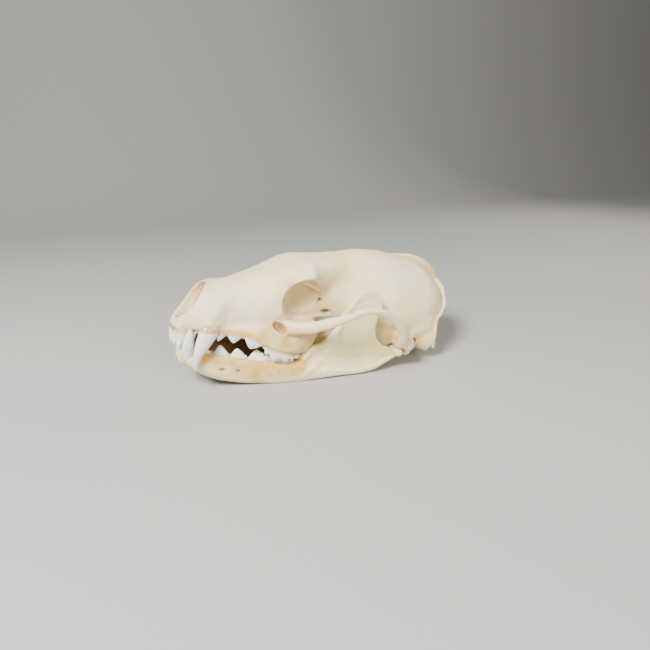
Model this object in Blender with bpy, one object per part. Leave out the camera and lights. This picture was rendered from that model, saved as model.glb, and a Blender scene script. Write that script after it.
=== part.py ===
"""Skull of a fisher, a large marten, with its lower jaw closed under it, at life size.

The skull is drawn in its own frame, in millimetres: x runs back from the front of the upper jaw,
y runs across, with the animal's left side at minus y, and z runs up from the gum line.
The finished bones are then tilted back until the two flats under the lower jaw lie level,
and set down on the ground with the middle of their box over the origin.
"""

import math

import bmesh
import bpy
import numpy as np
from mathutils import Matrix, Vector

MM = 0.001

# Driving dimensions, in millimetres and degrees
REST_TILT = 12.0
REST_SHIFT = (-55.0, 21.85)
ARCH_HALF_BREADTH = 28.3
BRAINCASE_HALF_BREADTH = 21.2
CONDYLE_X, CONDYLE_Y, CONDYLE_Z = 78.5, -20.6, 2.3
CONDYLE_RADIUS = 2.1
CONDYLE_HALF_LENGTH = 5.2
JOINT_GAP = 0.65
HALF_JAW_GAP = 0.3
BONE_VOXEL = 0.62
CRANIUM_TRIANGLES = 7600
MANDIBLE_TRIANGLES = 1500
CUSP_SIDES = 7
RING_SIDES = 28

# Lofts: x, half breadth, top, bottom and height of the widest point, all in millimetres
SNOUT = (
    (-0.1, 3.2, 1.9, -0.4, 0.8),
    (1.8, 5.3, 4.3, -0.6, 1.8),
    (4.5, 7.0, 8.0, -0.4, 2.8),
    (7.5, 8.9, 12.8, 0.2, 4.2),
    (10.0, 10.1, 15.7, 0.6, 4.8),
    (12.5, 10.6, 17.0, 0.8, 5.2),
    (17.0, 10.0, 18.2, 0.6, 5.6),
    (22.0, 10.5, 20.4, 0.2, 6.4),
    (27.0, 11.9, 22.7, -0.6, 7.6),
    (32.0, 13.3, 25.2, -1.0, 9.6),
    (35.0, 13.2, 26.7, -1.0, 12.0),
    (40.0, 9.4, 27.4, -1.0, 14.0),
)
FOREHEAD = (
    (22.0, 5.0, 20.2, 13.0, 17.0),
    (30.0, 9.2, 24.0, 16.0, 20.0),
    (36.0, 11.9, 27.2, 17.0, 21.6),
    (40.5, 13.5, 29.0, 17.0, 22.8),
    (43.2, 14.6, 29.5, 17.0, 23.2),
    (46.2, 12.4, 29.9, 17.0, 23.2),
    (51.0, 10.6, 30.7, 15.0, 23.2),
    (58.0, 10.0, 32.0, 15.0, 23.0),
)
EYE_WALL = (
    (30.0, 8.6, 24.0, 0.0, 12.0),
    (38.0, 9.2, 25.0, -1.5, 13.0),
    (45.0, 8.6, 26.5, -1.0, 14.0),
    (50.0, 8.4, 27.0, 0.5, 15.0),
    (56.0, 9.0, 28.0, 2.0, 15.0),
    (62.0, 11.0, 29.0, 3.0, 15.0),
)
CHEEK = (
    (9.0, 7.6, 6.0, 1.0, 2.4),
    (13.0, 9.6, 6.0, 0.5, 1.8),
    (18.0, 10.6, 7.0, 0.1, 1.6),
    (24.0, 12.2, 8.0, -0.4, 1.2),
    (29.0, 14.6, 9.0, -2.0, 0.6),
    (34.0, 17.0, 9.6, -3.3, 1.0),
    (39.0, 18.4, 10.0, -3.9, 2.0),
    (43.4, 18.0, 9.6, -4.1, 3.0),
    (45.0, 17.2, 9.2, -2.3, 4.0),
    (46.6, 16.0, 8.8, 0.8, 4.8),
    (48.4, 13.0, 8.4, 3.2, 6.0),
)
BRAINCASE = (
    (48.0, 8.3, 29.2, 10.0, 20.0),
    (52.0, 10.0, 30.6, 6.5, 19.0),
    (57.0, 11.5, 31.8, 4.5, 18.0),
    (62.0, 14.6, 32.9, 4.0, 16.5),
    (68.0, 18.0, 34.0, 3.5, 15.5),
    (75.0, 20.3, 34.4, 3.2, 14.8),
    (83.0, BRAINCASE_HALF_BREADTH, 33.7, 3.2, 14.0),
    (90.0, 20.9, 32.8, 3.4, 13.0),
    (96.0, 18.8, 30.8, 3.6, 12.5),
    (100.0, 15.4, 28.2, 4.0, 13.0),
    (103.0, 9.5, 23.4, 7.0, 15.0),
)
SKULL_BASE = (
    (41.0, 12.0, 8.0, -3.6, 2.0),
    (44.0, 11.6, 8.0, -3.2, 2.0),
    (46.8, 9.0, 8.0, -2.6, 2.0),
    (50.0, 5.2, 9.0, -1.6, 2.0),
    (58.0, 5.6, 9.0, 1.0, 4.0),
    (68.0, 8.0, 10.0, 2.6, 6.0),
    (80.0, 10.0, 10.0, 3.0, 6.0),
    (92.0, 10.0, 10.0, 3.2, 6.0),
    (101.0, 8.0, 10.0, 4.0, 7.0),
)

# Left cheek arch: x, y, z, half thickness and half height along the bar
CHEEK_ARCH = (
    (32.0, -11.6, 3.6, 2.2, 3.0),
    (36.5, -15.4, 5.3, 2.5, 3.5),
    (40.0, -18.6, 6.0, 2.3, 3.7),
    (42.7, -21.2, 7.2, 1.9, 3.5),
    (44.6, -22.8, 9.2, 1.6, 2.8),
    (46.4, -24.3, 11.0, 1.4, 2.5),
    (48.5, -25.6, 12.5, 1.3, 1.7),
    (52.0, -27.0, 14.6, 1.2, 1.3),
    (56.6, -28.0, 17.3, 1.2, 1.2),
    (60.6, -ARCH_HALF_BREADTH, 18.0, 1.3, 1.2),
    (64.3, -ARCH_HALF_BREADTH, 17.5, 1.3, 1.2),
    (68.2, -28.0, 15.8, 1.4, 1.3),
    (72.2, -27.5, 13.3, 1.6, 1.6),
    (75.5, -26.6, 10.3, 1.9, 1.9),
    (78.0, -24.8, 7.2, 2.3, 2.2),
    (79.6, -21.5, 6.0, 2.6, 2.6),
    (80.4, -17.0, 7.0, 2.8, 3.0),
)

# Free edge of the crest across the back of the skull, from the middle to the left ear
NUCHAL_EDGE = (
    (106.8, 0.0, 26.8),
    (105.8, -4.0, 26.0),
    (104.4, -8.5, 24.6),
    (103.2, -12.0, 22.4),
    (101.2, -15.6, 19.2),
    (98.4, -18.4, 16.4),
    (94.8, -20.6, 13.4),
    (93.4, -22.0, 9.6),
    (93.4, -22.8, 5.4),
    (93.6, -22.8, 2.2),
)
CREST_ROOT_SHARE = 0.6
CREST_THICKNESS = 1.5
# Free edge of the low crest along the top of the braincase
SAGITTAL_EDGE = (
    (72.0, 0.0, 34.3),
    (80.0, 0.0, 34.6),
    (90.0, 0.0, 35.0),
    (97.0, 0.0, 33.8),
    (102.8, 0.0, 30.9),
    (106.6, 0.0, 27.2),
)

# Bars of the left side, in the same columns as the cheek arch
CANINE_ROOT = ((10.9, -8.4, 1.2, 3.4, 2.6), (12.6, -8.4, 4.6, 2.9, 2.5), (15.6, -7.4, 9.0, 1.8, 1.8))
EAR_TUBE = ((83.4, -14.0, 5.0, 2.9, 2.9), (84.0, -20.6, 5.3, 2.6, 2.4))
THROAT_WING = ((49.0, -4.6, -0.6, 0.8, 3.2), (56.0, -4.9, 0.4, 0.7, 3.4), (64.0, -6.2, 2.4, 0.7, 2.6))

# Rounded lumps of the left side: centre and the three half sizes
EAR_BULB = ((84.0, -12.0, 4.6), (9.5, 6.4, 6.2))
MASTOID = ((90.8, -20.2, 6.4), (4.2, 3.5, 5.4))
JAW_SOCKET = ((80.4, -20.4, 4.9), (4.2, 6.6, 3.6))
SOCKET_LIP = ((82.3, -19.4, 2.2), (1.6, 5.2, 3.2))
OCCIPITAL_KNOB = ((101.4, -6.8, 7.2), (3.6, 2.9, 4.8))
PAROCCIPITAL = ((95.0, -14.5, 3.8), (2.6, 2.6, 4.4))

# Hollows: centre and the three half sizes
EYE_HOLLOW = ((43.6, -17.6, 15.4), (10.2, 10.2, 8.6))
NOSE_MOUTH = ((7.6, 0.0, 10.4), (6.4, 5.0, 5.6))
NOSE_SLOPE = 54.0
NOSE_PASSAGE = ((14.0, 0.0, 9.4), (9.0, 4.0, 4.2))
BRAIN_DOOR = ((104.0, 0.0, 10.4), (9.0, 5.6, 4.2))
THROAT_HOLLOW = ((52.0, 0.0, -0.6), (8.0, 3.8, 3.4))
PALATE_VAULT = ((26.0, 0.0, -3.6), (21.0, 9.0, 4.6))
CHEEK_HOLE = ((34.3, -14.6, 6.1), (5.4, 1.9, 2.0))
CHEEK_HOLE_TURN = 18.0
EAR_HOLE = ((84.0, -22.0, 5.2), (1.7, 4.4, 1.5))
LOWER_CANINE_NOTCH = ((6.5, -7.6, 0.0), (1.9, 3.0, 3.0))

# Left half of the lower jaw: x, y of its middle, half thickness, top and bottom
JAW_BODY = (
    (3.8, -1.5, 1.6, -7.2, -8.2),
    (5.8, -2.6, 2.6, -7.2, -10.0),
    (8.4, -4.1, 3.4, -6.8, -12.4),
    (12.6, -6.1, 3.5, -5.8, -14.6),
    (18.0, -7.7, 3.0, -5.9, -15.8),
    (24.0, -9.2, 2.7, -6.6, -16.0),
    (32.0, -11.5, 2.7, -7.2, -15.3),
    (38.0, -13.2, 2.7, -7.0, -14.6),
    (43.0, -14.5, 2.6, -6.4, -13.5),
    (50.0, -16.4, 2.2, -6.0, -11.5),
    (59.0, -18.4, 1.8, -6.8, -9.7),
    (69.0, -20.1, 1.5, -5.0, -7.9),
    (73.5, -20.6, 1.25, -2.0, -4.9),
    (79.2, -21.1, 1.1, -0.9, -2.9),
)
SYMPHYSIS = ((10.0, -1.4, -10.3), (6.6, 2.6, 2.6))
# Outline of the upright plate of the jaw, from the last tooth round the top to the joint
RAMUS_OUTLINE = (
    (44.6, -9.0),
    (46.0, -3.0),
    (48.4, 1.2),
    (51.4, 6.2),
    (54.9, 12.5),
    (57.9, 18.2),
    (60.4, 22.2),
    (63.0, 23.4),
    (66.0, 21.8),
    (67.4, 18.4),
    (66.5, 13.0),
    (66.7, 9.3),
    (68.2, 6.2),
    (71.5, 3.5),
    (75.5, 2.4),
    (78.6, 2.4),
    (77.8, -0.4),
    (80.4, -1.2),
    (80.2, -2.5),
    (76.8, -3.7),
    (73.0, -4.6),
    (69.8, -6.6),
    (58.0, -9.0),
    (47.0, -12.0),
)
RAMUS_HALF_THICKNESS = 1.0
RAMUS_LINE = ((40.0, -13.6), (50.0, -16.4), (60.0, -18.6), (70.0, -20.1), (80.0, -21.0))
RAMUS_LEAN = 0.07
# Thick front edge of the plate: x, z and radius
RAMUS_RIB = (
    (45.4, -8.0, 1.8),
    (46.8, -2.0, 1.6),
    (49.9, 2.6, 1.5),
    (52.8, 6.6, 1.4),
    (56.2, 12.8, 1.25),
    (59.0, 18.4, 1.15),
    (61.6, 22.0, 1.0),
)
# Canines of the left side: points of the curved middle line with half length and half width
UPPER_CANINE = (
    (12.8, -7.2, 5.4, 2.2, 1.8),
    (11.3, -8.7, 1.6, 3.1, 2.3),
    (10.3, -9.5, -2.0, 2.8, 2.1),
    (9.3, -9.9, -6.0, 2.0, 1.6),
    (8.6, -9.9, -9.6, 1.1, 1.0),
    (8.4, -9.8, -11.8, 0.35, 0.35),
)
LOWER_CANINE = (
    (8.0, -4.6, -10.6, 2.2, 1.7),
    (6.6, -5.3, -7.6, 2.4, 1.8),
    (5.8, -6.0, -4.4, 2.1, 1.7),
    (5.7, -6.5, -1.4, 1.4, 1.2),
    (6.0, -6.8, 1.4, 0.4, 0.4),
)
# Cusps of the left teeth: gum centre, tip, half length, half width and heading in degrees
UPPER_CUSPS = (
    ((1.7, -1.2, 0.2), (2.4, -1.1, -4.6), 1.2, 1.1, 85.0),
    ((2.2, -3.4, 0.2), (2.7, -3.2, -4.6), 1.2, 1.1, 70.0),
    ((3.4, -5.4, 0.6), (3.2, -5.2, -5.2), 1.5, 1.3, 55.0),
    ((15.4, -9.7, 0.4), (15.2, -9.9, -1.5), 1.6, 1.1, -12.0),
    ((20.0, -10.6, 0.0), (19.7, -10.8, -3.2), 3.0, 1.5, -12.0),
    ((26.0, -12.2, -0.9), (25.4, -12.4, -4.5), 3.4, 1.6, -14.0),
    ((32.2, -14.6, -2.9), (32.4, -15.0, -6.5), 3.7, 1.8, -16.0),
    ((37.2, -16.2, -3.6), (37.8, -16.5, -6.2), 3.7, 1.5, -14.0),
    ((31.2, -12.2, -2.2), (31.4, -12.1, -4.4), 2.0, 1.7, -40.0),
    ((42.0, -16.4, -4.0), (42.0, -16.6, -6.3), 2.3, 2.0, 80.0),
    ((42.2, -11.6, -3.6), (42.2, -11.4, -5.0), 2.9, 2.2, 85.0),
)
LOWER_CUSPS = (
    ((5.0, -0.95, -8.4), (4.5, -0.95, -5.0), 0.8, 0.8, 0.0),
    ((5.1, -2.3, -8.4), (4.7, -2.2, -4.9), 0.9, 0.9, 0.0),
    ((5.6, -3.5, -8.4), (5.1, -3.2, -4.8), 1.0, 0.9, 0.0),
    ((12.0, -6.6, -6.8), (11.8, -6.6, -4.2), 1.4, 0.9, -20.0),
    ((17.0, -7.8, -6.6), (16.4, -7.9, -2.9), 2.8, 1.3, -14.0),
    ((22.6, -9.1, -7.2), (21.9, -9.2, -3.3), 3.1, 1.4, -14.0),
    ((28.9, -10.5, -7.8), (28.4, -10.5, -3.4), 3.6, 1.5, -15.0),
    ((34.4, -11.7, -8.2), (34.0, -11.6, -4.6), 2.7, 1.4, -16.0),
    ((38.2, -12.5, -8.2), (38.2, -12.3, -4.6), 2.8, 1.4, -16.0),
    ((41.6, -13.4, -7.8), (41.7, -13.0, -6.4), 1.8, 1.6, -12.0),
    ((44.0, -14.1, -7.2), (44.0, -14.0, -6.2), 1.3, 1.3, 0.0),
)


def clear_scene():
    for thing in list(bpy.data.objects):
        bpy.data.objects.remove(thing)


def bone_material(name, colour, roughness):
    material = bpy.data.materials.new(name)
    material.use_nodes = True
    shader = material.node_tree.nodes["Principled BSDF"]
    shader.inputs["Base Color"].default_value = (*colour, 1.0)
    shader.inputs["Roughness"].default_value = roughness
    shader.inputs["Metallic"].default_value = 0.0
    return material


def follow(xs, ys, at):
    """Smooth curve through a few stations, which never swings past them."""
    step = np.diff(xs)
    slope = np.diff(ys) / step
    tangent = np.zeros(len(xs))
    tangent[0], tangent[-1] = slope[0], slope[-1]
    for k in range(1, len(xs) - 1):
        if slope[k - 1] * slope[k] > 0:
            before, after = step[k] * 2 + step[k - 1], step[k] + step[k - 1] * 2
            tangent[k] = (before + after) / (before / slope[k - 1] + after / slope[k])
    at = np.clip(at, xs[0], xs[-1])
    k = np.clip(np.searchsorted(xs, at, side="right") - 1, 0, len(step) - 1)
    t = (at - xs[k]) / step[k]
    rise = ys[k] * (1 + 2 * t) * (1 - t) ** 2 + ys[k + 1] * t * t * (3 - 2 * t)
    lean = tangent[k] * t * (1 - t) ** 2 - tangent[k + 1] * t * t * (1 - t)
    return rise + lean * step[k]


def refine(rows, count, by_first=True):
    """More rows of a table, read from smooth curves through its columns."""
    table = np.array(rows, float)
    if by_first:
        key = table[:, 0]
    else:
        hops = np.linalg.norm(np.diff(table[:, :3], axis=0), axis=1)
        key = np.concatenate([[0.0], np.cumsum(hops)])
    at = np.linspace(key[0], key[-1], count)
    return np.stack([follow(key, column, at) for column in table.T], axis=1)


def skin_rings(name, rings):
    """Closed body through equal rings of points, with a flat cap on each end."""
    body = bmesh.new()
    loops = [[body.verts.new(point) for point in ring] for ring in rings]
    for near, far in zip(loops, loops[1:]):
        for k in range(len(near)):
            body.faces.new((near[k - 1], near[k], far[k], far[k - 1]))
    body.faces.new(loops[0])
    body.faces.new(loops[-1])
    bmesh.ops.recalc_face_normals(body, faces=body.faces)
    mesh = bpy.data.meshes.new(name)
    body.to_mesh(mesh)
    body.free()
    made = bpy.data.objects.new(name, mesh)
    bpy.context.scene.collection.objects.link(made)
    return made


def squared_circle(sides, power):
    """Unit ring that grows from a circle to a rounded square as the power rises."""
    angle = np.arange(sides) * 2 * np.pi / sides
    c, s = np.cos(angle), np.sin(angle)
    return np.sign(c) * np.abs(c) ** (2 / power), np.sign(s) * np.abs(s) ** (2 / power)


def loft(name, rows, power=2.3, count=30):
    across, up = squared_circle(RING_SIDES, power)
    rings = []
    for x, half, top, bottom, belly in refine(rows, count):
        z = belly + np.where(up > 0, top - belly, belly - bottom) * up
        rings.append(np.stack([np.full(RING_SIDES, x), half * across, z], axis=1))
    return skin_rings(name, rings)


def sweep(name, rows, count=32, sides=12):
    """Bar with an oval section along a path; the section turns no more than the path does."""
    table = refine(rows, count, by_first=False)
    path = table[:, :3]
    heading = np.gradient(path, axis=0)
    heading /= np.linalg.norm(heading, axis=1)[:, None]
    across, up = squared_circle(sides, 2.2)
    lift = np.array([0.0, 0.0, 1.0])
    rings = []
    for point, ahead, (thick, tall) in zip(path, heading, table[:, 3:5]):
        lift = lift - ahead * (lift @ ahead)
        lift /= np.linalg.norm(lift)
        side = np.cross(ahead, lift)
        rings.append(point + np.outer(across * thick, side) + np.outer(up * tall, lift))
    return skin_rings(name, rings)


def crest(name, edge, hub, root_share, thickness, count=26):
    """Thin flange whose free edge is a curve and whose root runs towards a hub inside the bone."""
    line = refine(edge, count, by_first=False)
    hub = np.array(hub)
    heading = np.gradient(line, axis=0)
    rings = []
    for point, ahead in zip(line, heading):
        centre = np.where(np.isnan(hub), point, hub)
        root = centre + (point - centre) * root_share
        face = np.cross(ahead, point - centre)
        face *= thickness / 2 / np.linalg.norm(face)
        brow = root + (point - root) * 0.85
        rings.append([point + face * 0.6, brow + face, root + face * 2.2, root - face * 2.2, brow - face, point - face * 0.6])
    return skin_rings(name, rings)


def lump(name, shape, turn=(0.0, 0.0, 0.0)):
    """Ellipsoid from a centre and three half sizes, turned by angles in degrees."""
    centre, half = shape
    body = bmesh.new()
    bmesh.ops.create_uvsphere(body, u_segments=24, v_segments=14, radius=1.0)
    turned = Matrix.Rotation(math.radians(turn[2]), 4, "Z")
    turned = turned @ Matrix.Rotation(math.radians(turn[1]), 4, "Y")
    turned = turned @ Matrix.Rotation(math.radians(turn[0]), 4, "X")
    body.transform(Matrix.Translation(centre) @ turned @ Matrix.Diagonal((*half, 1.0)))
    mesh = bpy.data.meshes.new(name)
    body.to_mesh(mesh)
    body.free()
    made = bpy.data.objects.new(name, mesh)
    bpy.context.scene.collection.objects.link(made)
    return made


def cusp(name, gum, tip, half_length, half_width, heading, levels=5):
    """Cone with a swollen foot and a blunt point, on an oval base that is sunk in the bone."""
    gum, tip = np.array(gum), np.array(tip)
    angle = np.arange(CUSP_SIDES) * 2 * np.pi / CUSP_SIDES
    turn = math.radians(heading)
    along = np.array([math.cos(turn), math.sin(turn), 0.0])
    aside = np.array([-math.sin(turn), math.cos(turn), 0.0])
    ring = np.outer(np.cos(angle) * half_length, along) + np.outer(np.sin(angle) * half_width, aside)
    rings = []
    for t in np.linspace(-0.35, 0.97, levels):
        size = 1.0 - 0.95 * t ** 1.3 if t > 0 else 0.94
        rings.append(gum + (tip - gum) * t + ring * size)
    return skin_rings(name, rings)


def mirrored(thing):
    """The same body on the other side of the middle plane."""
    twin = thing.copy()
    twin.data = thing.data.copy()
    twin.data.transform(Matrix.Diagonal((1.0, -1.0, 1.0, 1.0)))
    twin.data.flip_normals()
    bpy.context.scene.collection.objects.link(twin)
    return twin


def both_sides(things):
    return things + [mirrored(thing) for thing in things]


def apply_modifiers(thing):
    """Turns what the modifiers show into the object's own mesh."""
    shown = thing.evaluated_get(bpy.context.evaluated_depsgraph_get())
    settled = bpy.data.meshes.new_from_object(shown)
    thing.modifiers.clear()
    thing.data = settled


def merged(name, things):
    """One object with the faces of several, which may still run through each other."""
    body = bmesh.new()
    for thing in things:
        body.from_mesh(thing.data)
        bpy.data.objects.remove(thing)
    mesh = bpy.data.meshes.new(name)
    body.to_mesh(mesh)
    body.free()
    made = bpy.data.objects.new(name, mesh)
    bpy.context.scene.collection.objects.link(made)
    return made


def fuse(thing, voxel):
    """Melts bodies that run through each other into one skin."""
    remesh = thing.modifiers.new("fuse", "REMESH")
    remesh.mode = "VOXEL"
    remesh.voxel_size = voxel
    apply_modifiers(thing)
    keep_largest(thing)


def keep_largest(thing):
    """Drops every closed surface of the mesh but the largest one."""
    body = bmesh.new()
    body.from_mesh(thing.data)
    body.verts.ensure_lookup_table()
    owner = [-1] * len(body.verts)
    groups = []
    for start in body.verts:
        if owner[start.index] >= 0:
            continue
        group, front = [], [start]
        owner[start.index] = len(groups)
        while front:
            vert = front.pop()
            group.append(vert)
            for link in vert.link_edges:
                other = link.other_vert(vert)
                if owner[other.index] < 0:
                    owner[other.index] = len(groups)
                    front.append(other)
        groups.append(group)
    groups.sort(key=len)
    bmesh.ops.delete(body, geom=[vert for group in groups[:-1] for vert in group], context="VERTS")
    body.to_mesh(thing.data)
    body.free()


def soften(thing, passes, share=0.5, undo=0.0):
    """Moves each point towards the mean of its neighbours, then part of the way back."""
    mesh = thing.data
    points = np.empty(len(mesh.vertices) * 3)
    mesh.vertices.foreach_get("co", points)
    points = points.reshape(-1, 3)
    pairs = np.empty(len(mesh.edges) * 2, int)
    mesh.edges.foreach_get("vertices", pairs)
    pairs = pairs.reshape(-1, 2)
    ends = np.concatenate([pairs[:, 0], pairs[:, 1]])
    others = np.concatenate([pairs[:, 1], pairs[:, 0]])
    count = np.bincount(ends, minlength=len(points))[:, None]
    for _ in range(passes):
        for amount in (share, -undo):
            total = [np.bincount(ends, points[others, k], len(points)) for k in range(3)]
            points = points + (np.stack(total, axis=1) / count - points) * amount
    mesh.vertices.foreach_set("co", points.ravel())
    mesh.update()


def thin_out(thing, triangles):
    """Fewer, larger triangles, alike on both sides of the middle plane."""
    faces = sum(len(face.vertices) - 2 for face in thing.data.polygons)
    decimate = thing.modifiers.new("thin out", "DECIMATE")
    decimate.ratio = triangles / faces
    decimate.use_collapse_triangulate = True
    apply_modifiers(thing)


def combine(thing, others, operation):
    """One Boolean step between a body and a collection of closed bodies."""
    group = bpy.data.collections.new(operation.lower())
    for other in others:
        group.objects.link(other)
    step = thing.modifiers.new(operation.lower(), "BOOLEAN")
    step.operation = operation
    step.operand_type = "COLLECTION"
    step.collection = group
    step.solver = "EXACT"
    apply_modifiers(thing)
    for other in others:
        bpy.data.objects.remove(other)
    bpy.data.collections.remove(group)


def skull_forms():
    """Large bodies that melt into the vault, the snout and the cheeks."""
    middle = [
        loft("snout", SNOUT, power=2.35),
        loft("forehead", FOREHEAD),
        loft("eye wall", EYE_WALL),
        loft("cheek", CHEEK, power=3.4),
        loft("braincase", BRAINCASE, power=2.15),
        loft("skull base", SKULL_BASE, power=2.6),
    ]
    return middle + both_sides([lump("ear bulb", EAR_BULB, (0.0, 0.0, -12.0))])


def skull_details():
    """Arches, crests and knobs that stand on the large bodies."""
    left = [
        sweep("cheek arch", CHEEK_ARCH, count=44),
        crest("nuchal crest", NUCHAL_EDGE, (90.0, 0.0, 13.0), CREST_ROOT_SHARE, CREST_THICKNESS),
        lump("mastoid", MASTOID),
        lump("jaw socket", JAW_SOCKET),
        lump("socket lip", SOCKET_LIP),
        lump("occipital knob", OCCIPITAL_KNOB, (0.0, 20.0, 0.0)),
        lump("paroccipital", PAROCCIPITAL),
        sweep("canine root", CANINE_ROOT, count=14),
        sweep("ear tube", EAR_TUBE, count=4),
        sweep("throat wing", THROAT_WING, count=10),
    ]
    spine = crest("sagittal crest", SAGITTAL_EDGE, (np.nan, np.nan, 14.0), 0.5, CREST_THICKNESS)
    return [spine] + both_sides(left)


def skull_openings():
    """Openings cut in the upper skull."""
    middle = [
        lump("nose mouth", NOSE_MOUTH, (0.0, -NOSE_SLOPE, 0.0)),
        lump("nose passage", NOSE_PASSAGE),
        lump("brain door", BRAIN_DOOR),
        lump("throat hollow", THROAT_HOLLOW),
        lump("palate vault", PALATE_VAULT, (0.0, 4.0, 0.0)),
    ]
    room = CONDYLE_RADIUS + JOINT_GAP
    reach = CONDYLE_HALF_LENGTH + 1.0
    joint_room = (
        (CONDYLE_X, CONDYLE_Y - reach - 1.0, CONDYLE_Z, room * 0.9, room * 0.9),
        (CONDYLE_X, CONDYLE_Y, CONDYLE_Z, room, room),
        (CONDYLE_X, CONDYLE_Y + reach, CONDYLE_Z, room * 0.9, room * 0.9),
    )
    left = [
        lump("cheek hole", CHEEK_HOLE, (0.0, 0.0, CHEEK_HOLE_TURN)),
        lump("ear hole", EAR_HOLE),
        lump("lower canine notch", LOWER_CANINE_NOTCH),
        sweep("joint room", joint_room, count=8),
    ]
    return middle + both_sides(left)


def make_cranium():
    vault = merged("vault", skull_forms())
    fuse(vault, BONE_VOXEL)
    soften(vault, 5)
    combine(vault, both_sides([lump("eye hollow", EYE_HOLLOW)]), "DIFFERENCE")
    skull = merged("cranium", [vault] + skull_details())
    fuse(skull, BONE_VOXEL)
    soften(skull, 3, undo=0.4)
    combine(skull, skull_openings(), "DIFFERENCE")
    fuse(skull, BONE_VOXEL)
    soften(skull, 3, undo=0.4)
    thin_out(skull, CRANIUM_TRIANGLES)
    teeth = [cusp("upper tooth", *row) for row in UPPER_CUSPS]
    teeth.append(sweep("upper canine", UPPER_CANINE, count=7, sides=CUSP_SIDES + 1))
    combine(skull, both_sides(teeth), "UNION")
    keep_largest(skull)
    return skull


def ramus_plate():
    """Thin upright plate of the jaw, cut to its outline and bowed along the jaw's line."""
    outline = np.array(RAMUS_OUTLINE)
    line = np.array(RAMUS_LINE)
    middle = follow(line[:, 0], line[:, 1], outline[:, 0]) - RAMUS_LEAN * np.maximum(outline[:, 1], 0.0)
    sheets = []
    for side in (-1.0, 1.0):
        y = middle + side * RAMUS_HALF_THICKNESS
        sheets.append(np.stack([outline[:, 0], y, outline[:, 1]], axis=1))
    plate = skin_rings("ramus plate", sheets)
    body = bmesh.new()
    body.from_mesh(plate.data)
    bmesh.ops.triangulate(body, faces=body.faces)
    body.to_mesh(plate.data)
    body.free()
    return plate


def jaw_body():
    """Tooth-bearing bar of the left half jaw, an upright oval along its own line."""
    across, up = squared_circle(RING_SIDES, 2.3)
    rings = []
    for x, y, half, top, bottom in refine(JAW_BODY, 34):
        z = (top + bottom) / 2 + up * (top - bottom) / 2
        rings.append(np.stack([np.full(RING_SIDES, x), y + half * across, z], axis=1))
    return skin_rings("jaw body", rings)


def ramus_rib():
    line = np.array(RAMUS_LINE)
    rows = []
    for x, z, radius in RAMUS_RIB:
        y = follow(line[:, 0], line[:, 1], np.array([x]))[0] - RAMUS_LEAN * max(z, 0.0)
        rows.append((x, y, z, radius, radius))
    return sweep("ramus rib", rows, 24)


def jaw_condyle():
    half, radius = CONDYLE_HALF_LENGTH, CONDYLE_RADIUS
    rows = [
        (CONDYLE_X, CONDYLE_Y - half, CONDYLE_Z, radius * 0.5, radius * 0.5),
        (CONDYLE_X, CONDYLE_Y - half * 0.7, CONDYLE_Z, radius * 0.95, radius * 0.95),
        (CONDYLE_X, CONDYLE_Y + half * 0.7, CONDYLE_Z, radius * 0.95, radius * 0.95),
        (CONDYLE_X, CONDYLE_Y + half, CONDYLE_Z, radius * 0.5, radius * 0.5),
    ]
    return sweep("jaw condyle", rows, 10)


def slice_off(thing, point, normal):
    """Cuts the body with a plane, drops what lies beyond it and closes the cut."""
    body = bmesh.new()
    body.from_mesh(thing.data)
    everything = body.verts[:] + body.edges[:] + body.faces[:]
    cut = bmesh.ops.bisect_plane(
        body, geom=everything, plane_co=point, plane_no=normal, clear_outer=True, dist=1e-5
    )
    rim = [edge for edge in cut["geom_cut"] if isinstance(edge, bmesh.types.BMEdge)]
    bmesh.ops.holes_fill(body, edges=rim)
    bmesh.ops.triangulate(body, faces=body.faces)
    body.to_mesh(thing.data)
    body.free()


def make_left_mandible():
    jaw = merged("mandible_left", [jaw_body(), ramus_plate(), ramus_rib(), jaw_condyle(), lump("symphysis", SYMPHYSIS)])
    fuse(jaw, BONE_VOXEL * 0.8)
    soften(jaw, 3, undo=0.4)
    thin_out(jaw, MANDIBLE_TRIANGLES)
    teeth = [cusp("lower tooth", *row) for row in LOWER_CUSPS]
    teeth.append(sweep("lower canine", LOWER_CANINE, count=6, sides=CUSP_SIDES + 1))
    combine(jaw, teeth, "UNION")
    keep_largest(jaw)
    slice_off(jaw, (0.0, -HALF_JAW_GAP / 2, 0.0), (0.0, 1.0, 0.0))
    return jaw


def set_down(bones):
    """Tilts the bones to rest, moves them over the origin and flattens the jaw's feet."""
    turn = Matrix.Rotation(math.radians(REST_TILT), 4, "Y")
    home = Matrix.Translation((REST_SHIFT[0], 0.0, REST_SHIFT[1]))
    for bone in bones:
        bone.data.transform(home @ turn)
    for jaw in bones[1:]:
        slice_off(jaw, (0.0, 0.0, 0.0), (0.0, 0.0, -1.0))
    for bone in bones:
        bone.data.transform(Matrix.Scale(MM, 4))


def finish(bone, material):
    bone.data.materials.clear()
    bone.data.materials.append(material)
    bone.data.shade_smooth()
    bone.data.set_sharp_from_angle(angle=math.radians(50.0))


def main():
    clear_scene()
    bone_white = bone_material("bleached bone", (0.86, 0.80, 0.70), 0.5)
    cranium = make_cranium()
    left = make_left_mandible()
    right = mirrored(left)
    right.name = "mandible_right"
    set_down([cranium, left, right])
    for bone in (cranium, left, right):
        finish(bone, bone_white)


main()
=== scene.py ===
"""Skull of a fisher, a large marten, with its lower jaw closed, on a pale studio floor.

The skull is drawn in its own frame, in millimetres: x runs back from the front of the upper jaw,
y runs across, with the animal's left side at minus y, and z runs up from the gum line.
It is then tilted back by REST_TILT and moved by REST_SHIFT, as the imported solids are.
"""

import math

import bmesh
import bpy
import numpy as np
from mathutils import Matrix, Vector

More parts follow.
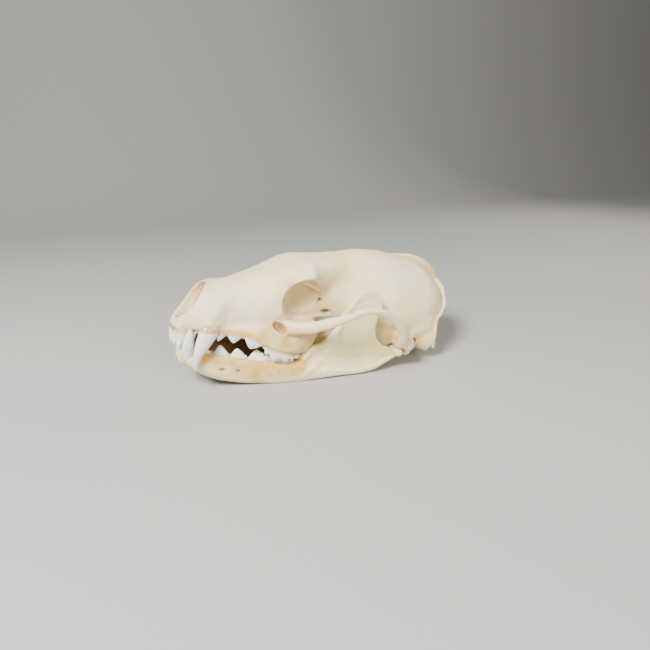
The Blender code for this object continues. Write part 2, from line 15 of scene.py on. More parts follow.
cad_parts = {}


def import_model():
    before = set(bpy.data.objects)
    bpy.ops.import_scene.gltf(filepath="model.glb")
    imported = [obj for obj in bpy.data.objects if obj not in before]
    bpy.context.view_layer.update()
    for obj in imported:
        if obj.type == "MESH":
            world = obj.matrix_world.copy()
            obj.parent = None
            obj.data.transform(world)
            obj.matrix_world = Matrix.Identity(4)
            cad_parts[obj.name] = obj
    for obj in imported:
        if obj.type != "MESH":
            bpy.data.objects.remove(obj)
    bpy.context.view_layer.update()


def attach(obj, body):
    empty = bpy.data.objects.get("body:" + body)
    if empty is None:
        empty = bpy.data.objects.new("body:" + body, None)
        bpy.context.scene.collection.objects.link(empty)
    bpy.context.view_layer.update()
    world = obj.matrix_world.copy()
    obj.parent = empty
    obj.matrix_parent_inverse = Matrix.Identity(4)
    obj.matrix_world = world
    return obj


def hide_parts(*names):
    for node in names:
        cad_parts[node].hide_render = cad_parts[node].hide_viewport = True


MM = 0.001
REST_TILT = 12.0
REST_SHIFT = (-55.0, 21.85)
UP = (0.0, 0.0, 1.0)
ACROSS = (0.0, 1.0, 0.0)

# Least height of any point in metres, so that no flat face lies in the floor
FLOOR_CLEARANCE = 0.00003

# Camera: place in metres, angles in degrees, and the picture's size and focal length in pixels
CAMERA_PLACE = (-0.07252, -0.15987, 0.08040)
CAMERA_YAW, CAMERA_PITCH, CAMERA_ROLL = 25.26, -20.87, -0.15
PICTURE_WIDTH, FOCAL_LENGTH = 650, 488
SENSOR_WIDTH = 36.0

# Driving dimensions, in millimetres
ARCH_HALF_BREADTH = 28.3
BRAINCASE_HALF_BREADTH = 21.2
CONDYLE_X, CONDYLE_Y, CONDYLE_Z = 78.8, -20.6, 1.3
CONDYLE_RADIUS = 1.9
CONDYLE_HALF_LENGTH = 3.3
JOINT_GAP = 0.5
HALF_JAW_GAP = 0.3
CREST_THICKNESS = 1.5

# Unevenness of the bone: height on skull and jaw, sizes of the coarse and the fine waves, and the fine
# waves' share of the height
SKULL_GRAIN = 0.06
JAW_GRAIN = 0.05
COARSE_SIZE, FINE_SIZE, FINE_SHARE = 5.0, 1.6, 0.4

# Cell sizes of the skins and of the cutters, in millimetres, and the most triangles of one piece
VAULT_VOXEL = 0.45
BONE_VOXEL = 0.3
JAW_VOXEL = 0.25
CUTTER_VOXEL = 0.35
MOST_TRIANGLES = 190000

# Lofts: x, half breadth, top, bottom and height of the widest point
SNOUT = (
    (0.5, 3.2, 1.9, -0.4, 0.8),
    (2.0, 5.3, 4.3, -0.6, 1.8),
    (4.5, 7.0, 9.0, -0.4, 2.8),
    (7.5, 8.9, 14.0, 0.2, 4.2),
    (10.0, 10.1, 16.5, 0.6, 4.8),
    (12.5, 10.6, 17.4, 0.8, 5.2),
    (17.0, 10.0, 18.2, 0.6, 5.6),
    (22.0, 10.5, 20.4, 0.2, 6.4),
    (27.0, 11.9, 22.7, -0.6, 7.6),
    (32.0, 13.3, 25.2, -1.0, 9.6),
    (35.0, 13.2, 26.7, -1.0, 12.0),
    (40.0, 9.4, 27.4, -1.0, 14.0),
)
FOREHEAD = (
    (22.0, 5.0, 20.2, 13.0, 17.0),
    (30.0, 9.2, 24.0, 16.0, 20.0),
    (36.0, 11.9, 27.2, 17.0, 21.6),
    (40.5, 13.5, 29.0, 17.0, 22.8),
    (43.2, 14.6, 29.5, 17.0, 23.2),
    (46.2, 12.4, 29.9, 17.0, 23.2),
    (51.0, 10.6, 30.7, 15.0, 23.2),
    (58.0, 10.0, 32.0, 15.0, 23.0),
)
EYE_WALL = (
    (30.0, 8.6, 24.0, 0.0, 12.0),
    (38.0, 9.2, 25.0, -1.5, 13.0),
    (45.0, 8.6, 26.5, -1.0, 14.0),
    (50.0, 8.4, 27.0, 0.5, 15.0),
    (56.0, 9.0, 28.0, 2.0, 15.0),
    (62.0, 11.0, 29.0, 3.0, 15.0),
)
CHEEK = (
    (9.0, 7.6, 6.0, 1.4, 2.6),
    (13.0, 9.6, 6.0, 0.8, 1.9),
    (18.0, 10.8, 7.0, 0.3, 1.7),
    (22.5, 12.0, 8.0, 0.1, 1.6),
    (26.0, 13.4, 8.4, -0.8, 1.2),
    (29.0, 14.6, 9.0, -2.0, 0.8),
    (34.0, 16.8, 9.6, -3.7, 0.2),
    (39.0, 17.8, 9.8, -4.3, 0.6),
    (43.6, 17.2, 9.6, -4.0, 1.6),
    (46.2, 16.2, 9.2, -1.8, 3.0),
    (47.8, 15.2, 8.8, 1.4, 4.4),
    (48.8, 13.4, 8.4, 3.4, 5.4),
    (49.6, 10.5, 8.0, 5.0, 6.2),
)
BRAINCASE = (
    (48.0, 8.3, 29.2, 10.0, 20.0),
    (52.0, 10.0, 30.6, 6.5, 19.0),
    (57.0, 11.5, 31.8, 4.5, 18.0),
    (62.0, 14.6, 32.9, 4.0, 16.5),
    (68.0, 18.0, 34.0, 3.5, 15.5),
    (75.0, 20.3, 34.4, 3.2, 14.8),
    (83.0, BRAINCASE_HALF_BREADTH, 33.7, 3.2, 14.0),
    (90.0, 20.9, 32.8, 3.4, 13.0),
    (96.0, 18.8, 30.8, 3.6, 12.5),
    (100.0, 15.4, 28.2, 4.0, 13.0),
    (103.0, 9.5, 23.4, 7.0, 15.0),
)
SKULL_BASE = (
    (41.0, 12.0, 8.0, -3.6, 2.0),
    (44.0, 11.6, 8.0, -3.2, 2.0),
    (46.8, 9.0, 8.0, -2.6, 2.0),
    (50.0, 5.2, 9.0, -1.6, 2.0),
    (58.0, 5.6, 9.0, 1.0, 4.0),
    (68.0, 8.0, 10.0, 2.6, 6.0),
    (80.0, 10.0, 10.0, 3.0, 6.0),
    (92.0, 10.0, 10.0, 3.2, 6.0),
    (101.0, 8.0, 10.0, 4.0, 7.0),
)

# Bars of the left side: x, y, z, half thickness and half height
CHEEK_ARCH = (
    (32.0, -11.6, 4.6, 2.2, 3.0),
    (36.5, -15.5, 6.6, 2.5, 2.7),
    (40.0, -18.7, 7.7, 2.3, 2.2),
    (42.7, -21.2, 9.0, 1.9, 1.95),
    (44.6, -22.8, 10.2, 1.6, 1.8),
    (46.4, -24.3, 11.5, 1.4, 1.8),
    (48.5, -25.6, 12.8, 1.3, 1.5),
    (52.0, -27.0, 14.6, 1.2, 1.3),
    (56.6, -28.0, 17.3, 1.2, 1.2),
    (60.6, -ARCH_HALF_BREADTH, 18.0, 1.3, 1.2),
    (64.3, -ARCH_HALF_BREADTH, 17.5, 1.3, 1.2),
    (68.2, -28.0, 15.8, 1.4, 1.3),
    (72.2, -27.5, 13.3, 1.6, 1.6),
    (75.5, -26.6, 10.3, 1.9, 1.9),
    (77.6, -24.8, 7.0, 2.1, 2.3),
    (79.2, -21.8, 5.4, 2.6, 3.0),
    (80.8, -17.0, 6.2, 3.0, 3.4),
)
CANINE_ROOT = ((11.5, -8.8, 3.2, 3.3, 2.5), (13.0, -8.1, 5.4, 2.7, 2.4), (17.0, -6.6, 10.0, 1.6, 1.6))
SOCKET_LIP = (
    (78.6, -24.2, 6.2, 2.0, 2.3),
    (80.8, -23.6, 4.2, 1.6, 2.0),
    (82.0, -22.0, 2.0, 1.3, 1.7),
    (82.3, -18.6, 1.0, 1.3, 1.7),
    (82.3, -15.4, 2.2, 1.2, 1.8),
)
EAR_TUBE = ((84.8, -14.0, 5.0, 2.9, 2.9), (86.0, -20.6, 5.0, 2.6, 2.4))
MASTOID = ((85.0, -15.6, 9.0, 3.0, 4.0), (90.4, -17.6, 7.0, 3.4, 5.2), (95.2, -19.4, 5.2, 2.6, 4.6))
THROAT_WING = ((49.0, -4.6, -0.6, 0.8, 3.2), (56.0, -4.9, 0.4, 0.7, 3.4), (64.0, -6.2, 2.4, 0.7, 2.6))

# Section of a crest: share of the way from root to edge, and half width in half thicknesses
CREST_SECTION = ((1.0, 0.45), (0.94, 0.9), (0.8, 1.2), (0.5, 2.0), (0.0, 3.4))

# Hubs that the crests stand out from, where nan keeps to the edge, the share of the way from the hub
# where the root lies, and the rear crest's ruffle with its waves as rate, start and size
NUCHAL_HUB, NUCHAL_ROOT = (90.0, 0.0, 13.0), 0.6
SAGITTAL_HUB, SAGITTAL_ROOT = (np.nan, np.nan, 18.0), 0.5
NUCHAL_RUFFLE = 0.14
RUFFLE_WAVES = ((31.0, 0.6, 0.7), (67.0, 0.0, 0.4))

# Free edges of the two crests
NUCHAL_EDGE = (
    (106.8, 0.0, 26.8),
    (105.8, -4.0, 26.0),
    (104.4, -8.5, 24.6),
    (103.2, -12.0, 22.4),
    (101.2, -15.6, 19.2),
    (98.4, -18.4, 16.4),
    (94.8, -20.6, 13.4),
    (94.4, -21.8, 9.6),
    (95.0, -21.9, 6.0),
    (95.7, -21.6, 2.6),
)
SAGITTAL_EDGE = (
    (72.0, 0.0, 33.2),
    (80.0, 0.0, 34.1),
    (90.0, 0.0, 35.0),
    (97.0, 0.0, 33.8),
    (102.8, 0.0, 30.9),
    (105.2, 0.0, 28.6),
)

# Rounded lumps of the left side: centre and the three half sizes, and turns in degrees about x, y and z
EAR_BULB = ((84.0, -12.0, 4.6), (9.5, 6.4, 6.2))
EAR_BULB_TURN = (0.0, 0.0, -12.0)
MASTOID_SWELL = ((89.4, -14.8, 11.0), (9.6, 6.5, 10.2))
JAW_SOCKET = ((80.9, -20.2, 4.9), (3.9, 6.0, 3.3))
TEMPLE_WALL = ((75.6, -15.8, 6.8), (7.6, 3.0, 6.4))
OCCIPITAL_KNOB = ((101.6, -6.0, 8.2), (3.4, 2.6, 4.4))
OCCIPITAL_KNOB_TURN = (0.0, 20.0, 0.0)
PAROCCIPITAL = ((94.8, -15.2, 5.2), (3.2, 3.6, 4.3))

# Hollows: centre and the three half sizes, and turns in degrees about x, y and z
EYE_HOLLOW = ((43.3, -17.6, 15.3), (11.1, 10.3, 8.8))
EYE_FLOOR = ((43.6, -15.0, 10.6), (8.4, 4.8, 5.0))
NOSE_MOUTH = ((6.1, 0.0, 10.1), (7.7, 5.5, 4.9))
NOSE_MOUTH_TURN = (0.0, -55.0, 0.0)
NOSE_PASSAGE = ((13.6, 0.0, 9.0), (9.8, 5.0, 5.6))
BRAIN_DOOR = ((104.0, 0.0, 10.4), (9.0, 5.6, 4.2))
THROAT_HOLLOW = ((52.0, 0.0, -0.6), (8.0, 3.8, 3.4))
PALATE_VAULT = ((26.0, 0.0, -3.6), (21.0, 9.0, 4.6))
PALATE_VAULT_TURN = (0.0, 4.0, 0.0)
CHEEK_HOLE = ((33.5, -15.4, 6.4), (1.35, 3.0, 2.7))
CHEEK_HOLE_TURN = (0.0, -36.0, 22.0)
EAR_HOLE = ((86.2, -22.0, 4.8), (1.7, 4.8, 1.5))
LOWER_CANINE_NOTCH = ((6.8, -7.6, -0.4), (1.6, 3.0, 2.4))

# Inside the nose: ends of the left scroll, its middle, half sizes, rise and flutes, and the middle wall
SCROLL_ENDS = (10.6, 21.0)
SCROLL_MIDDLE = (-2.75, 9.6)
SCROLL_HALF_SIZES = (2.0, 3.6)
SCROLL_RISE = 1.6
SCROLL_FLUTES = 11
FLUTE_DEPTH = 0.2
NOSE_WALL = (
    (9.6, 0.0, 9.472, 0.28, 5.2),
    (10.4, 0.0, 9.568, 0.28, 5.2),
    (14.0, 0.0, 10.0, 0.28, 5.2),
    (18.0, 0.0, 10.48, 0.28, 5.2),
    (22.0, 0.0, 10.96, 0.28, 5.2),
)

# Left half of the lower jaw: x, y of its middle, half thickness, top and bottom
JAW_BODY = (
    (3.9, -2.3, 2.0, -7.3, -8.8),
    (5.6, -3.3, 3.1, -7.2, -11.0),
    (8.4, -4.3, 3.5, -6.8, -12.6),
    (12.6, -6.1, 3.5, -5.8, -14.6),
    (18.0, -7.7, 3.0, -5.9, -15.8),
    (24.0, -9.2, 2.7, -6.6, -16.0),
    (32.0, -11.5, 2.7, -6.9, -15.3),
    (38.0, -13.2, 2.7, -6.2, -14.6),
    (43.0, -14.5, 2.6, -5.5, -13.5),
    (50.0, -16.4, 2.2, -6.0, -11.5),
    (59.0, -18.4, 1.8, -6.6, -9.4),
    (66.0, -19.7, 1.6, -5.2, -8.0),
    (70.5, -20.4, 1.4, -3.6, -6.4),
    (74.0, -20.8, 1.3, -1.2, -3.9),
    (77.8, -21.0, 1.2, 0.8, -1.0),
)
SYMPHYSIS = ((9.8, -2.0, -10.2), (6.0, 3.2, 3.0))
RAMUS_OUTLINE = (
    (41.8, -7.0),
    (42.9, -3.8),
    (44.6, -1.2),
    (46.6, 0.5),
    (49.2, 1.7),
    (51.5, 3.8),
    (53.0, 7.6),
    (54.3, 13.0),
    (56.7, 18.4),
    (58.7, 21.8),
    (61.2, 23.3),
    (64.2, 22.9),
    (66.8, 21.1),
    (67.9, 18.2),
    (67.0, 13.4),
    (67.3, 9.6),
    (68.8, 6.0),
    (71.8, 3.5),
    (75.2, 2.6),
    (78.6, 2.6),
    (79.0, -0.2),
    (77.8, -1.0),
    (75.6, -2.8),
    (72.6, -4.8),
    (70.2, -6.2),
    (58.0, -8.8),
    (47.0, -12.0),
)
RAMUS_HALF_THICKNESS = 1.0
RAMUS_LINE = ((40.0, -13.6), (50.0, -16.4), (60.0, -18.6), (70.0, -20.1), (80.0, -21.0))
RAMUS_LEAN = 0.07
RAMUS_RIB = (
    (43.8, -8.4, 1.7),
    (44.6, -4.4, 1.45),
    (46.2, -1.8, 1.3),
    (48.2, -0.3, 1.2),
    (50.4, 1.2, 1.15),
    (52.4, 3.8, 1.15),
    (54.0, 8.0, 1.15),
    (55.4, 13.0, 1.2),
    (58.0, 18.4, 1.15),
    (60.4, 21.6, 1.0),
)

# Condyle: place along it in half lengths, and its radius there as a share of the full one
CONDYLE_ROUNDING = ((-1.0, 0.35), (-0.6, 0.85), (0.6, 0.85), (1.0, 0.35))

# Canines of the left side: points of the curved middle line with half length and half width
UPPER_CANINE = (
    (14.2, -7.2, 8.0, 1.5, 1.3),
    (12.6, -7.9, 4.8, 2.3, 1.7),
    (11.4, -9.0, 1.8, 3.0, 2.4),
    (10.0, -9.7, -1.6, 2.5, 2.0),
    (8.7, -10.0, -5.6, 1.6, 1.4),
    (8.2, -9.9, -9.4, 0.85, 0.8),
    (8.4, -9.8, -11.8, 0.3, 0.3),
)
LOWER_CANINE = (
    (11.4, -4.4, -12.2, 1.6, 1.3),
    (8.7, -4.8, -10.4, 2.2, 1.7),
    (6.6, -5.3, -7.6, 2.4, 1.8),
    (5.9, -6.0, -4.4, 2.2, 1.8),
    (5.7, -6.4, -1.4, 1.75, 1.5),
    (6.0, -6.5, 1.6, 0.7, 0.7),
)

# Gum of the canines: x, z and slope
CANINE_GUMS = {"upper": (10.0, 2.3, 0.0), "lower": (7.0, -9.4, 0.0)}

# Crowns: rounding of a cusp as a share of its reach, powers of a cusp and of a front tooth's blade,
# the reach above which a tooth is a blade, and in millimetres the collar's height and the root's depth
BLUNTNESS = 0.1
CUSP_POWER, BLADE_POWER = 1.4, 3.0
BLADE_REACH = 1.5
COLLAR_HEIGHT = 0.9
ROOT_DEPTH = 3.2

# Other left teeth: name, gum centre, heading, half length, half width, slope of the gum line, lean of
# the tip to the front and to the outside, and cusps as place along, place across, height and reach
UPPER_TEETH = (
    ("incisor_1", (1.9, -1.2, 0.6), 82.0, 1.0, 1.2, 0.0, (0.12, 0.0), ((0.0, 0.0, 5.2, 2.2),)),
    ("incisor_2", (2.4, -3.4, 0.6), 66.0, 1.1, 1.3, 0.0, (0.12, 0.05), ((0.0, 0.0, 5.2, 2.2),)),
    ("incisor_3", (4.0, -5.6, 1.0), 50.0, 1.7, 1.7, 0.0, (0.18, 0.06), ((0.0, 0.0, 6.2, 1.7),)),
    ("premolar_1", (15.6, -9.2, 1.3), -12.0, 1.65, 1.1, 0.1, (0.25, 0.1), ((-0.2, 0.0, 2.5, 1.1),)),
    (
        "premolar_2", (20.0, -10.2, 1.7), -13.0, 2.85, 1.4, 0.05, (0.05, 0.1),
        ((-0.08, 0.0, 3.1, 1.0), (0.72, 0.0, 1.2, 0.5)),
    ),
    (
        "premolar_3", (26.2, -11.9, 0.8), -14.0, 3.75, 1.6, -0.36, (0.1, 0.1),
        ((-0.22, 0.0, 3.7, 1.0), (0.5, 0.0, 1.7, 0.5), (0.86, 0.0, 1.2, 0.3)),
    ),
    (
        "carnassial", (34.8, -14.5, -2.3), -14.0, 5.9, 1.9, -0.17, (0.0, 0.1),
        (
            (-0.82, 0.1, 2.5, 0.36),
            (-0.28, 0.15, 4.0, 0.62),
            (0.45, 0.05, 3.3, 0.62),
            (0.9, 0.0, 2.2, 0.3),
            (-0.55, -0.9, 2.5, 0.4),
        ),
    ),
    (
        "molar_1", (41.3, -13.4, -3.2), 84.0, 3.6, 1.9, 0.0, (0.0, 0.05),
        ((-0.5, 0.0, 1.7, 0.9), (0.45, 0.0, 1.5, 0.9)),
    ),
)
LOWER_TEETH = (
    ("incisor_1", (5.0, -0.95, -8.4), 84.0, 0.75, 0.9, 0.0, (0.14, 0.0), ((0.0, 0.0, 3.4, 2.2),)),
    ("incisor_2", (5.2, -2.15, -8.4), 74.0, 0.8, 0.9, 0.0, (0.14, 0.0), ((0.0, 0.0, 3.5, 2.2),)),
    ("incisor_3", (5.7, -3.35, -8.4), 62.0, 0.85, 0.95, 0.0, (0.14, 0.05), ((0.0, 0.0, 3.6, 2.2),)),
    ("premolar_1", (12.0, -6.7, -6.4), -20.0, 1.4, 0.95, 0.1, (0.2, 0.0), ((-0.1, 0.0, 2.4, 1.0),)),
    (
        "premolar_2", (17.0, -7.8, -6.6), -14.0, 2.85, 1.3, 0.0, (0.1, 0.0),
        ((-0.22, 0.0, 3.7, 1.0), (0.6, 0.0, 1.3, 0.6)),
    ),
    (
        "premolar_3", (22.7, -9.2, -7.0), -14.0, 3.15, 1.4, 0.0, (0.1, 0.0),
        ((-0.2, 0.0, 3.5, 1.0), (0.45, 0.0, 2.2, 0.6), (0.85, 0.0, 1.4, 0.35)),
    ),
    (
        "premolar_4", (29.2, -10.8, -7.2), -15.0, 4.1, 1.5, 0.0, (0.1, 0.0),
        ((-0.16, 0.0, 4.0, 0.9), (0.36, 0.0, 3.2, 0.6), (0.8, 0.0, 2.4, 0.45)),
    ),
    (
        "carnassial", (37.0, -12.7, -6.6), -15.0, 5.7, 1.6, 0.0, (0.0, 0.0),
        ((-0.74, 0.0, 3.5, 0.6), (-0.1, 0.0, 3.5, 0.6), (0.66, 0.0, 1.9, 0.5)),
    ),
    ("molar_2", (44.0, -14.0, -7.0), -10.0, 1.2, 1.2, 0.0, (0.0, 0.0), ((0.0, 0.0, 1.2, 1.1),)),
)

# Relief of the left side: centre, the three half sizes, and height (less than 0 is a dent)
SKULL_SPOTS = (
    ((28.6, -14.0, 7.6), (4.2, 2.6, 2.4), -0.8),
    ((22.5, -11.6, 9.0), (6.0, 3.0, 4.6), -0.35),
    ((40.0, -9.0, 18.0), (3.0, 2.0, 3.0), -0.4),
    ((56.0, -11.5, 24.0), (6.0, 4.0, 5.0), -0.5),
    ((27.0, 0.0, 23.0), (9.0, 2.6, 3.0), -0.35),
    ((47.6, -25.2, 11.6), (2.6, 2.4, 2.4), 0.25),
    ((66.0, -27.8, 16.6), (3.0, 2.0, 2.0), 0.12),
    ((18.5, -8.6, 12.5), (4.4, 3.0, 4.0), -0.15),
    ((33.0, -12.4, 18.0), (3.5, 3.0, 4.0), 0.3),
    ((88.0, -19.0, 20.0), (7.0, 4.0, 5.0), 0.3),
    ((98.0, -9.0, 28.0), (5.0, 5.0, 3.0), -0.4),
    ((103.0, -8.0, 20.0), (3.0, 5.0, 5.0), -0.5),
    ((49.6, -8.6, 15.4), (0.55, 2.0, 0.6), -1.5),
    ((53.0, -8.6, 11.0), (1.3, 2.4, 0.75), -1.8),
    ((35.4, -11.6, 14.4), (0.8, 1.6, 0.9), -1.2),
    ((86.3, -22.6, 4.8), (1.3, 2.4, 1.1), -0.8),
)
SKULL_RIDGES = (
    (((9.6, -10.4, 2.4), (11.0, -10.2, 6.0), (14.0, -9.2, 10.5), (17.0, -7.8, 14.0)), 2.2, 0.3),
    (((11.5, -5.6, 16.0), (18.0, -5.2, 18.0), (26.0, -5.6, 22.0), (34.0, -7.4, 26.0)), 0.35, -0.16),
    (((33.6, -13.4, 10.6), (34.4, -12.9, 15.0), (37.0, -12.6, 20.4), (40.6, -13.6, 23.6)), 0.9, 0.3),
    (((43.4, -14.4, 28.4), (49.5, -9.6, 31.2), (58.0, -4.6, 33.2), (68.0, -1.2, 34.6)), 1.0, 0.28),
    (((42.0, -10.4, 21.6), (46.0, -9.2, 20.2), (51.0, -8.6, 18.0)), 0.7, 0.8),
    (((45.0, -9.4, 8.4), (50.0, -8.0, 9.2), (55.0, -7.0, 10.2)), 0.8, 0.5),
    (((0.4, -1.0, 2.2), (4.0, -6.0, 5.6), (9.6, -7.9, 12.6), (11.0, -5.0, 16.6)), 0.6, 0.15),
    (((80.6, -23.6, 9.0), (86.0, -22.6, 10.0), (92.0, -21.8, 11.0)), 1.4, 0.15),
)
JAW_SPOTS = (
    ((61.0, -19.6, 1.0), (8.0, 3.4, 7.5), -0.8),
    ((17.3, -10.4, -11.0), (1.0, 1.6, 0.42), -0.9),
    ((22.6, -11.6, -11.1), (0.7, 1.6, 0.36), -0.7),
    ((9.5, -7.4, -11.6), (3.0, 2.0, 3.2), 0.35),
)
JAW_RIDGES = (
    (((45.4, -16.6, -9.6), (49.0, -17.6, -5.6), (52.4, -18.4, -0.6), (54.3, -18.6, 8.4)), 1.1, 0.6),
    (((52.0, -18.6, -7.6), (60.0, -20.2, -6.6), (70.0, -21.8, -4.0)), 1.0, 0.3),
)

# Stains and painted shade of the left side: line or spot, reach and strength
UPPER_GUM = (
    (10.0, -10.6, 1.0),
    (16.0, -10.8, 1.4),
    (20.0, -11.4, 1.4),
    (26.0, -13.2, 0.9),
    (30.0, -15.4, -1.8),
    (36.0, -17.4, -3.2),
    (42.0, -18.2, -3.2),
)
LOWER_GUM = (
    (10.0, -7.8, -7.4),
    (18.0, -9.4, -7.2),
    (26.0, -11.6, -7.6),
    (34.0, -13.8, -7.8),
    (43.0, -16.2, -7.0),
)
STAIN_LINES = ((UPPER_GUM, 1.9, 0.95), (LOWER_GUM, 2.2, 0.95))
# Ochre stain spots; the three on the cheek under the arch are part stain and part painted shade
STAIN_AND_SHADE_SPOTS = (
    ((31.0, -16.4, 3.8), (6.0, 3.4, 3.2), 0.9),
    ((38.0, -17.6, 2.6), (7.0, 3.6, 4.4), 0.95),
    ((46.0, -17.0, 3.0), (4.0, 4.0, 4.0), 0.7),
    ((27.0, -12.6, -10.4), (6.0, 3.4, 3.0), 1.0),
    ((36.0, -15.0, -9.0), (7.0, 3.4, 3.0), 1.0),
    ((15.0, -9.4, -9.0), (4.0, 3.0, 2.0), 0.35),
    ((76.0, -16.0, 8.0), (6.0, 4.0, 4.0), 0.55),
    ((86.5, -20.6, 5.0), (3.4, 3.0, 4.4), 0.6),
    ((101.0, -4.0, 30.0), (7.0, 9.0, 4.0), 0.35),
    ((55.0, -11.0, 26.0), (6.0, 5.0, 5.0), 0.3),
    ((20.0, -3.0, 20.0), (4.0, 3.0, 3.0), 0.15),
    ((5.0, 0.0, 5.0), (4.0, 8.0, 5.0), 0.3),
)
# Painted shade in the eye socket
EYE_SOCKET_SHADE = ((43.0, -11.0, 15.0), (10.0, 7.0, 8.0))
SNOUT_TINT = ((18.0, -6.0, 12.0), (14.0, 14.0, 9.0))
# Painted shade inside the nose
NOSE_SHADE = ((9.5, 0.0, 10.5), (7.0, 5.6, 6.6))
# Painted shade in the skull's small holes and deep corners
SHADE_SPOTS = (
    ((34.0, -13.4, 6.0), (2.8, 1.9, 2.6), 0.85),
    ((49.7, -8.8, 15.3), (0.8, 1.6, 0.8), 1.0),
    ((53.1, -8.8, 11.0), (1.7, 2.0, 1.0), 1.0),
    ((35.4, -11.8, 14.4), (1.0, 1.6, 1.1), 0.5),
    ((86.3, -21.0, 4.8), (1.6, 2.2, 1.5), 0.9),
    ((50.0, -10.5, 7.6), (5.0, 2.6, 2.0), 0.6),
    ((11.2, 0.0, 14.0), (2.6, 5.4, 2.8), 0.75),
)
# Painted shade in the jaw's small holes
JAW_SHADE_SPOTS = (
    ((17.3, -10.4, -11.0), (1.1, 1.6, 0.55), 0.9),
    ((22.6, -11.4, -11.1), (0.8, 1.6, 0.45), 0.8),
)

# Inner line of the upper left tooth row, and how dark the bone is on the tongue's side, as stain with
# painted shade
TOOTH_ROW = ((4.0, -4.5), (14.0, -7.6), (26.0, -9.8), (36.0, -11.8), (43.0, -11.0))
PALATE_STRENGTH, TONGUE_STRENGTH = 0.8, 0.85

# How much the stains and the painted cheek shade are raised, the depth and height in millimetres of full
# hollows and edges, which set the painted shade and the painted highlight, and the smoothed copy that they
# are measured from
STAIN_AND_SHADE_GAIN = 2.2
HOLLOW_DEPTH, EDGE_HEIGHT = 0.35, 0.3
SMOOTHING_PASSES, SMOOTHING_SHARE = 24, 0.6

# Heights above the gum, in millimetres, where the painted brown shadow at a tooth's neck starts and ends to
# fade
GUM_SHADOW_FADE = (0.1, 0.6)

# Colours of the finishes
WARM_WHITE = (0.90, 0.815, 0.54)
CLOUDY_CREAM = (0.86, 0.71, 0.34)
MOTTLED_TAN = (0.78, 0.63, 0.29)
ROSY_WHITE = (0.93, 0.84, 0.70)
# Painted shade of the eye socket
SOCKET_SHADE_TAN = (0.66, 0.46, 0.27)
# Ochre stain, also used as painted shade on the cheek under the arch
OCHRE_STAIN_AND_SHADE = (0.64, 0.39, 0.07)
# Painted shade in hollows
HOLLOW_SHADE_BROWN = (0.52, 0.31, 0.13)
# Painted shade inside the nose
NOSE_SHADE_ORANGE = (0.76, 0.38, 0.13)
# Painted highlight on raised edges
EDGE_HIGHLIGHT_WHITE = (0.88, 0.80, 0.58)
PORE_BROWN = (0.45, 0.34, 0.22)
# Painted deep shade in holes, and stain with painted shade inside the mouth
DEEP_SHADE_AND_STAIN_BROWN = (0.30, 0.13, 0.035)
ENAMEL_WHITE = (0.86, 0.84, 0.80)
ENAMEL_CREAM = (0.83, 0.80, 0.72)
# Painted shadow at a tooth's gum line
GUM_SHADOW_BROWN = (0.50, 0.31, 0.13)
# Stain with painted shade on the tongue side of the cheek teeth
TONGUE_SHADE_AND_STAIN_BROWN = (0.40, 0.20, 0.06)
FLOOR_GREY = (0.42, 0.415, 0.405)

# Studio, in metres: the floor's strip, the share of its length where it bends up, and the soft lights
# as name, place, width, power and colour
FLOOR_FRONT, FLOOR_LENGTH, FLOOR_HALF_WIDTH = -1.0, 2.2, 1.4
FLOOR_ROWS, FLOOR_COLUMNS = 80, 3
BEND_START, BEND_LENGTH = 0.62, 0.2
LIT_PLACE = (0.0, 0.0, 0.02)
SOFT_LIGHTS = (
    ("window", (-0.32, -0.20, 0.40), 0.16, 7.4, (1.0, 0.985, 0.95)),
    ("front", (0.12, -0.46, 0.26), 0.3, 1.7, (1.0, 0.96, 0.90)),
    ("right", (0.42, 0.12, 0.30), 0.3, 1.0, (1.0, 0.95, 0.88)),
)
ROOM_COLOUR, ROOM_STRENGTH = (1.0, 0.98, 0.95), 0.17


def follow(xs, ys, at):
    """Smooth curve through a few stations: cubic pieces whose slopes never swing past them."""
    step = np.diff(xs)
    slope = np.diff(ys) / step
    tangent = np.concatenate([slope[:1], np.zeros(len(xs) - 2), slope[-1:]])
    rising = slope[:-1] * slope[1:] > 0
    before, after = step[1:] * 2 + step[:-1], step[1:] + step[:-1] * 2
    safe = np.where(rising, slope[:-1] * slope[1:], 1.0)
    mean = (before + after) * safe / (before * slope[1:] + after * slope[:-1] + (~rising))
    tangent[1:-1] = np.where(rising, mean, 0.0)
    at = np.clip(at, xs[0], xs[-1])
    k = np.clip(np.searchsorted(xs, at, side="right") - 1, 0, len(step) - 1)
    t = (at - xs[k]) / step[k]
    rise = ys[k] * (1 + 2 * t) * (1 - t) ** 2 + ys[k + 1] * t * t * (3 - 2 * t)
    return rise + (tangent[k] * t * (1 - t) ** 2 - tangent[k + 1] * t * t * (1 - t)) * step[k]


def refine(rows, count, by_first=True):
    """More rows of a table: each column is a smooth curve over the first column or over path length."""
    table = np.array(rows, float)
    if by_first:
        key = table[:, 0]
    else:
        hops = np.linalg.norm(np.diff(table[:, :3], axis=0), axis=1)
        key = np.concatenate([[0.0], np.cumsum(hops)])
    at = np.linspace(key[0], key[-1], count)
    return np.stack([follow(key, column, at) for column in table.T], axis=1)


def unit(vectors):
    """Each vector over its own length."""
    return vectors / np.linalg.norm(vectors, axis=-1, keepdims=True)


def squared_circle(sides, power):
    """Ring (|cos a|^(2/p), |sin a|^(2/p)) with its signs: a circle that squares up as p rises."""
    angle = np.arange(sides) * 2 * np.pi / sides
    c, s = np.cos(angle), np.sin(angle)
    return np.sign(c) * np.abs(c) ** (2 / power), np.sign(s) * np.abs(s) ** (2 / power)


